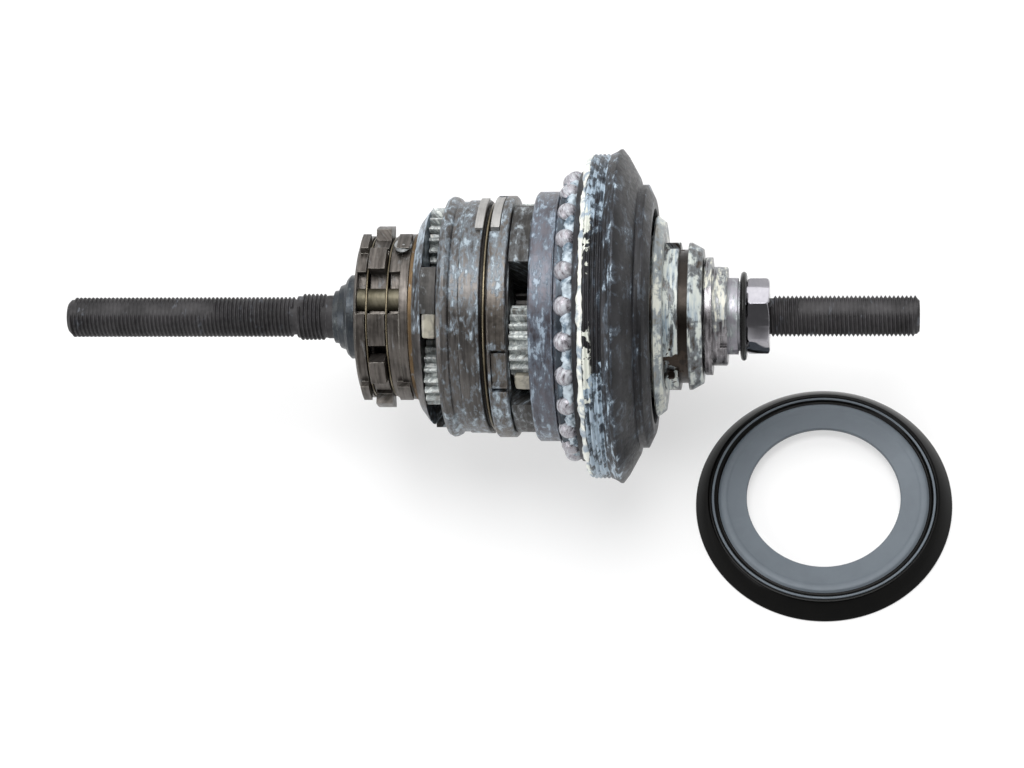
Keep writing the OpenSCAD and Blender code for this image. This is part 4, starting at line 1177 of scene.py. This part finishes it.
@dataclass
class RightEnd(SubAssembly):
    """The driver, the shift sleeve, the cone, the seal and the bright lock nut."""

    seal_outline: Outline = (
        (6.02, -6.75), (9.5, -6.75), (10.1, -6.6), (10.4, -6.2), (10.4, -5.85), (10.1, -5.45),
        (9.5, -5.3), (6.02, -5.3),
    )
    nut_flats: float = 16.0
    nut_length: float = 5.3
    nut_bore: float = 4.57
    nut_bevel: float = 0.7
    nut_turn: float = 100.0
    nut_dome: float = 0.22
    dome_steps: int = 12
    nut_rounding: float = 0.08
    corner_curve: Outline = ((-0.95, 0.0), (-0.2, 0.35), (0.02, 0.9))
    mouth: float = 0.5
    spare: float = 2.0

    def build(self) -> None:
        """Makes the nut and the seal, and dresses the other solids."""
        self.paint(DRIVER_FINISH, "driver")
        self.paint(DUST_RING_FINISH, "driver_dust_ring")
        self.paint(SLEEVE_FINISH, "shift_sleeve")
        self.paint(CONE_FINISH, "right_cone", "cone_washer")
        seal = turned("seal_ring_round", self.seal_outline, 96, rounding=0.15)
        self.place(seal, SEAL_FINISH, "axle_assembly", Slot.RUBBER, "seal_ring")
        self.place(self._nut(), NUT_FINISH, "axle_assembly", Slot.CHROME, "right_lock_nut")

    def _nut(self) -> Piece:
        """Makes the six-sided lock nut, with slightly domed sides and turned corners.

        Returns:
            The nut.
        """
        apothem = self.nut_flats / 2 - self.nut_dome
        corner = apothem / math.cos(math.radians(30.0))
        ahead = Vector((self.spare / 2, 0.0, 0.0))
        places = []
        for side in range(6):
            middle = math.radians(self.nut_turn + 30.0 + 60.0 * side)
            out = Vector((0.0, math.cos(middle), math.sin(middle)))
            along = Vector((0.0, -math.sin(middle), math.cos(middle))) * corner / 2
            for step in range(self.dome_steps):
                share = 2.0 * step / self.dome_steps - 1.0
                rise = apothem + self.nut_dome * (1.0 - share * share)
                places.append((out * rise + along * share + ahead) * MM)
        nut = loop("hex_lock_nut", places)
        edit(nut)
        bpy.ops.mesh.edge_face_add()
        depth = (-(self.nut_length + self.spare) * MM, 0.0, 0.0)
        bpy.ops.mesh.extrude_region_move(TRANSFORM_OT_translate={"value": depth})
        close_outwards()
        left = -self.nut_length
        curve = [(corner + r, x) for r, x in self.corner_curve]
        rounder = [(0.0, left), *((r, left + x) for r, x in curve)]
        rounder += [*((r, -x) for r, x in reversed(curve)), (0.0, 0.0)]
        cut(nut, turned("nut_rounder", rounder, 96), "INTERSECT")
        wide = self.nut_bore + self.nut_bevel + self.mouth
        start = left - self.spare
        bore = [
            (0.0, start), (self.nut_bore, start), (self.nut_bore, -self.nut_bevel),
            (wide, self.mouth), (wide, self.spare), (0.0, self.spare),
        ]
        cut(nut, turned("nut_bore", bore, 64))
        round_edges(nut, self.nut_rounding, 25.0)
        smooth(nut, 20.0)
        return nut


@dataclass
class DustCap(SubAssembly):
    """The dust cap that lies beside the hub gear: a painted plate in a rubber lip."""

    centre: Place = (12.4, -29.8, FLOOR_Z)
    plate: Outline = (
        (18.25, 3.3), (18.25, 4.15), (18.4, 4.3), (22.6, 4.3), (22.95, 4.42), (23.2, 4.5),
        (24.2, 4.5), (24.55, 4.42), (25.05, 3.95), (25.35, 3.9), (25.65, 3.98), (26.1, 4.36),
        (26.25, 4.44), (26.48, 4.44), (26.62, 4.3), (26.62, 2.92), (24.4, 2.92), (23.9, 3.3),
    )
    groove: Outline = (
        (24.95, 3.6), (24.98, 4.04), (25.08, 3.97), (25.35, 3.93), (25.65, 4.01), (26.02, 4.36),
        (26.06, 3.6),
    )
    lip: Outline = (
        (26.64, 4.22), (26.8, 4.44), (27.0, 4.5), (27.3, 4.48), (27.55, 4.36), (28.6, 3.2),
        (29.7, 1.75), (30.4, 0.65), (30.54, 0.45), (30.54, 0.12), (30.42, 0.0), (29.04, 0.0),
        (27.2, 2.4), (26.3, 2.4), (26.3, 2.9), (26.64, 2.9),
    )

    def build(self) -> None:
        """Turns the plate, the lip and the rubber in its groove about their own upright axis."""
        for name, outline, rounding, finish, slot, *nodes in (
            ("cap_plate_ring", self.plate, 0.06, PLATE_FINISH, Slot.PLATE, "dust_cap_plate"),
            ("cap_rubber_groove", self.groove, 0.0, LIP_FINISH, Slot.RUBBER),
            ("cap_rubber_lip", self.lip, 0.05, LIP_FINISH, Slot.RUBBER, "dust_cap_lip"),
        ):
            ring = turned(name, outline, 192, rounding, Spindle.UPRIGHT, self.centre)
            self.place(ring, finish, "axle_assembly", slot, *nodes)


def main() -> None:
    """Builds the studio and every sub-assembly."""
    logging.basicConfig(level=logging.INFO, format="%(name)s: %(message)s")
    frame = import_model()
    pick()
    Studio().build()
    for kind in (Axle, Clutch, GearTrain, MainBearing, BallCup, RightEnd, DustCap):
        kind(frame=frame).build()
        log.info("%s built", kind.__name__)


if __name__ == "__main__":
    main()
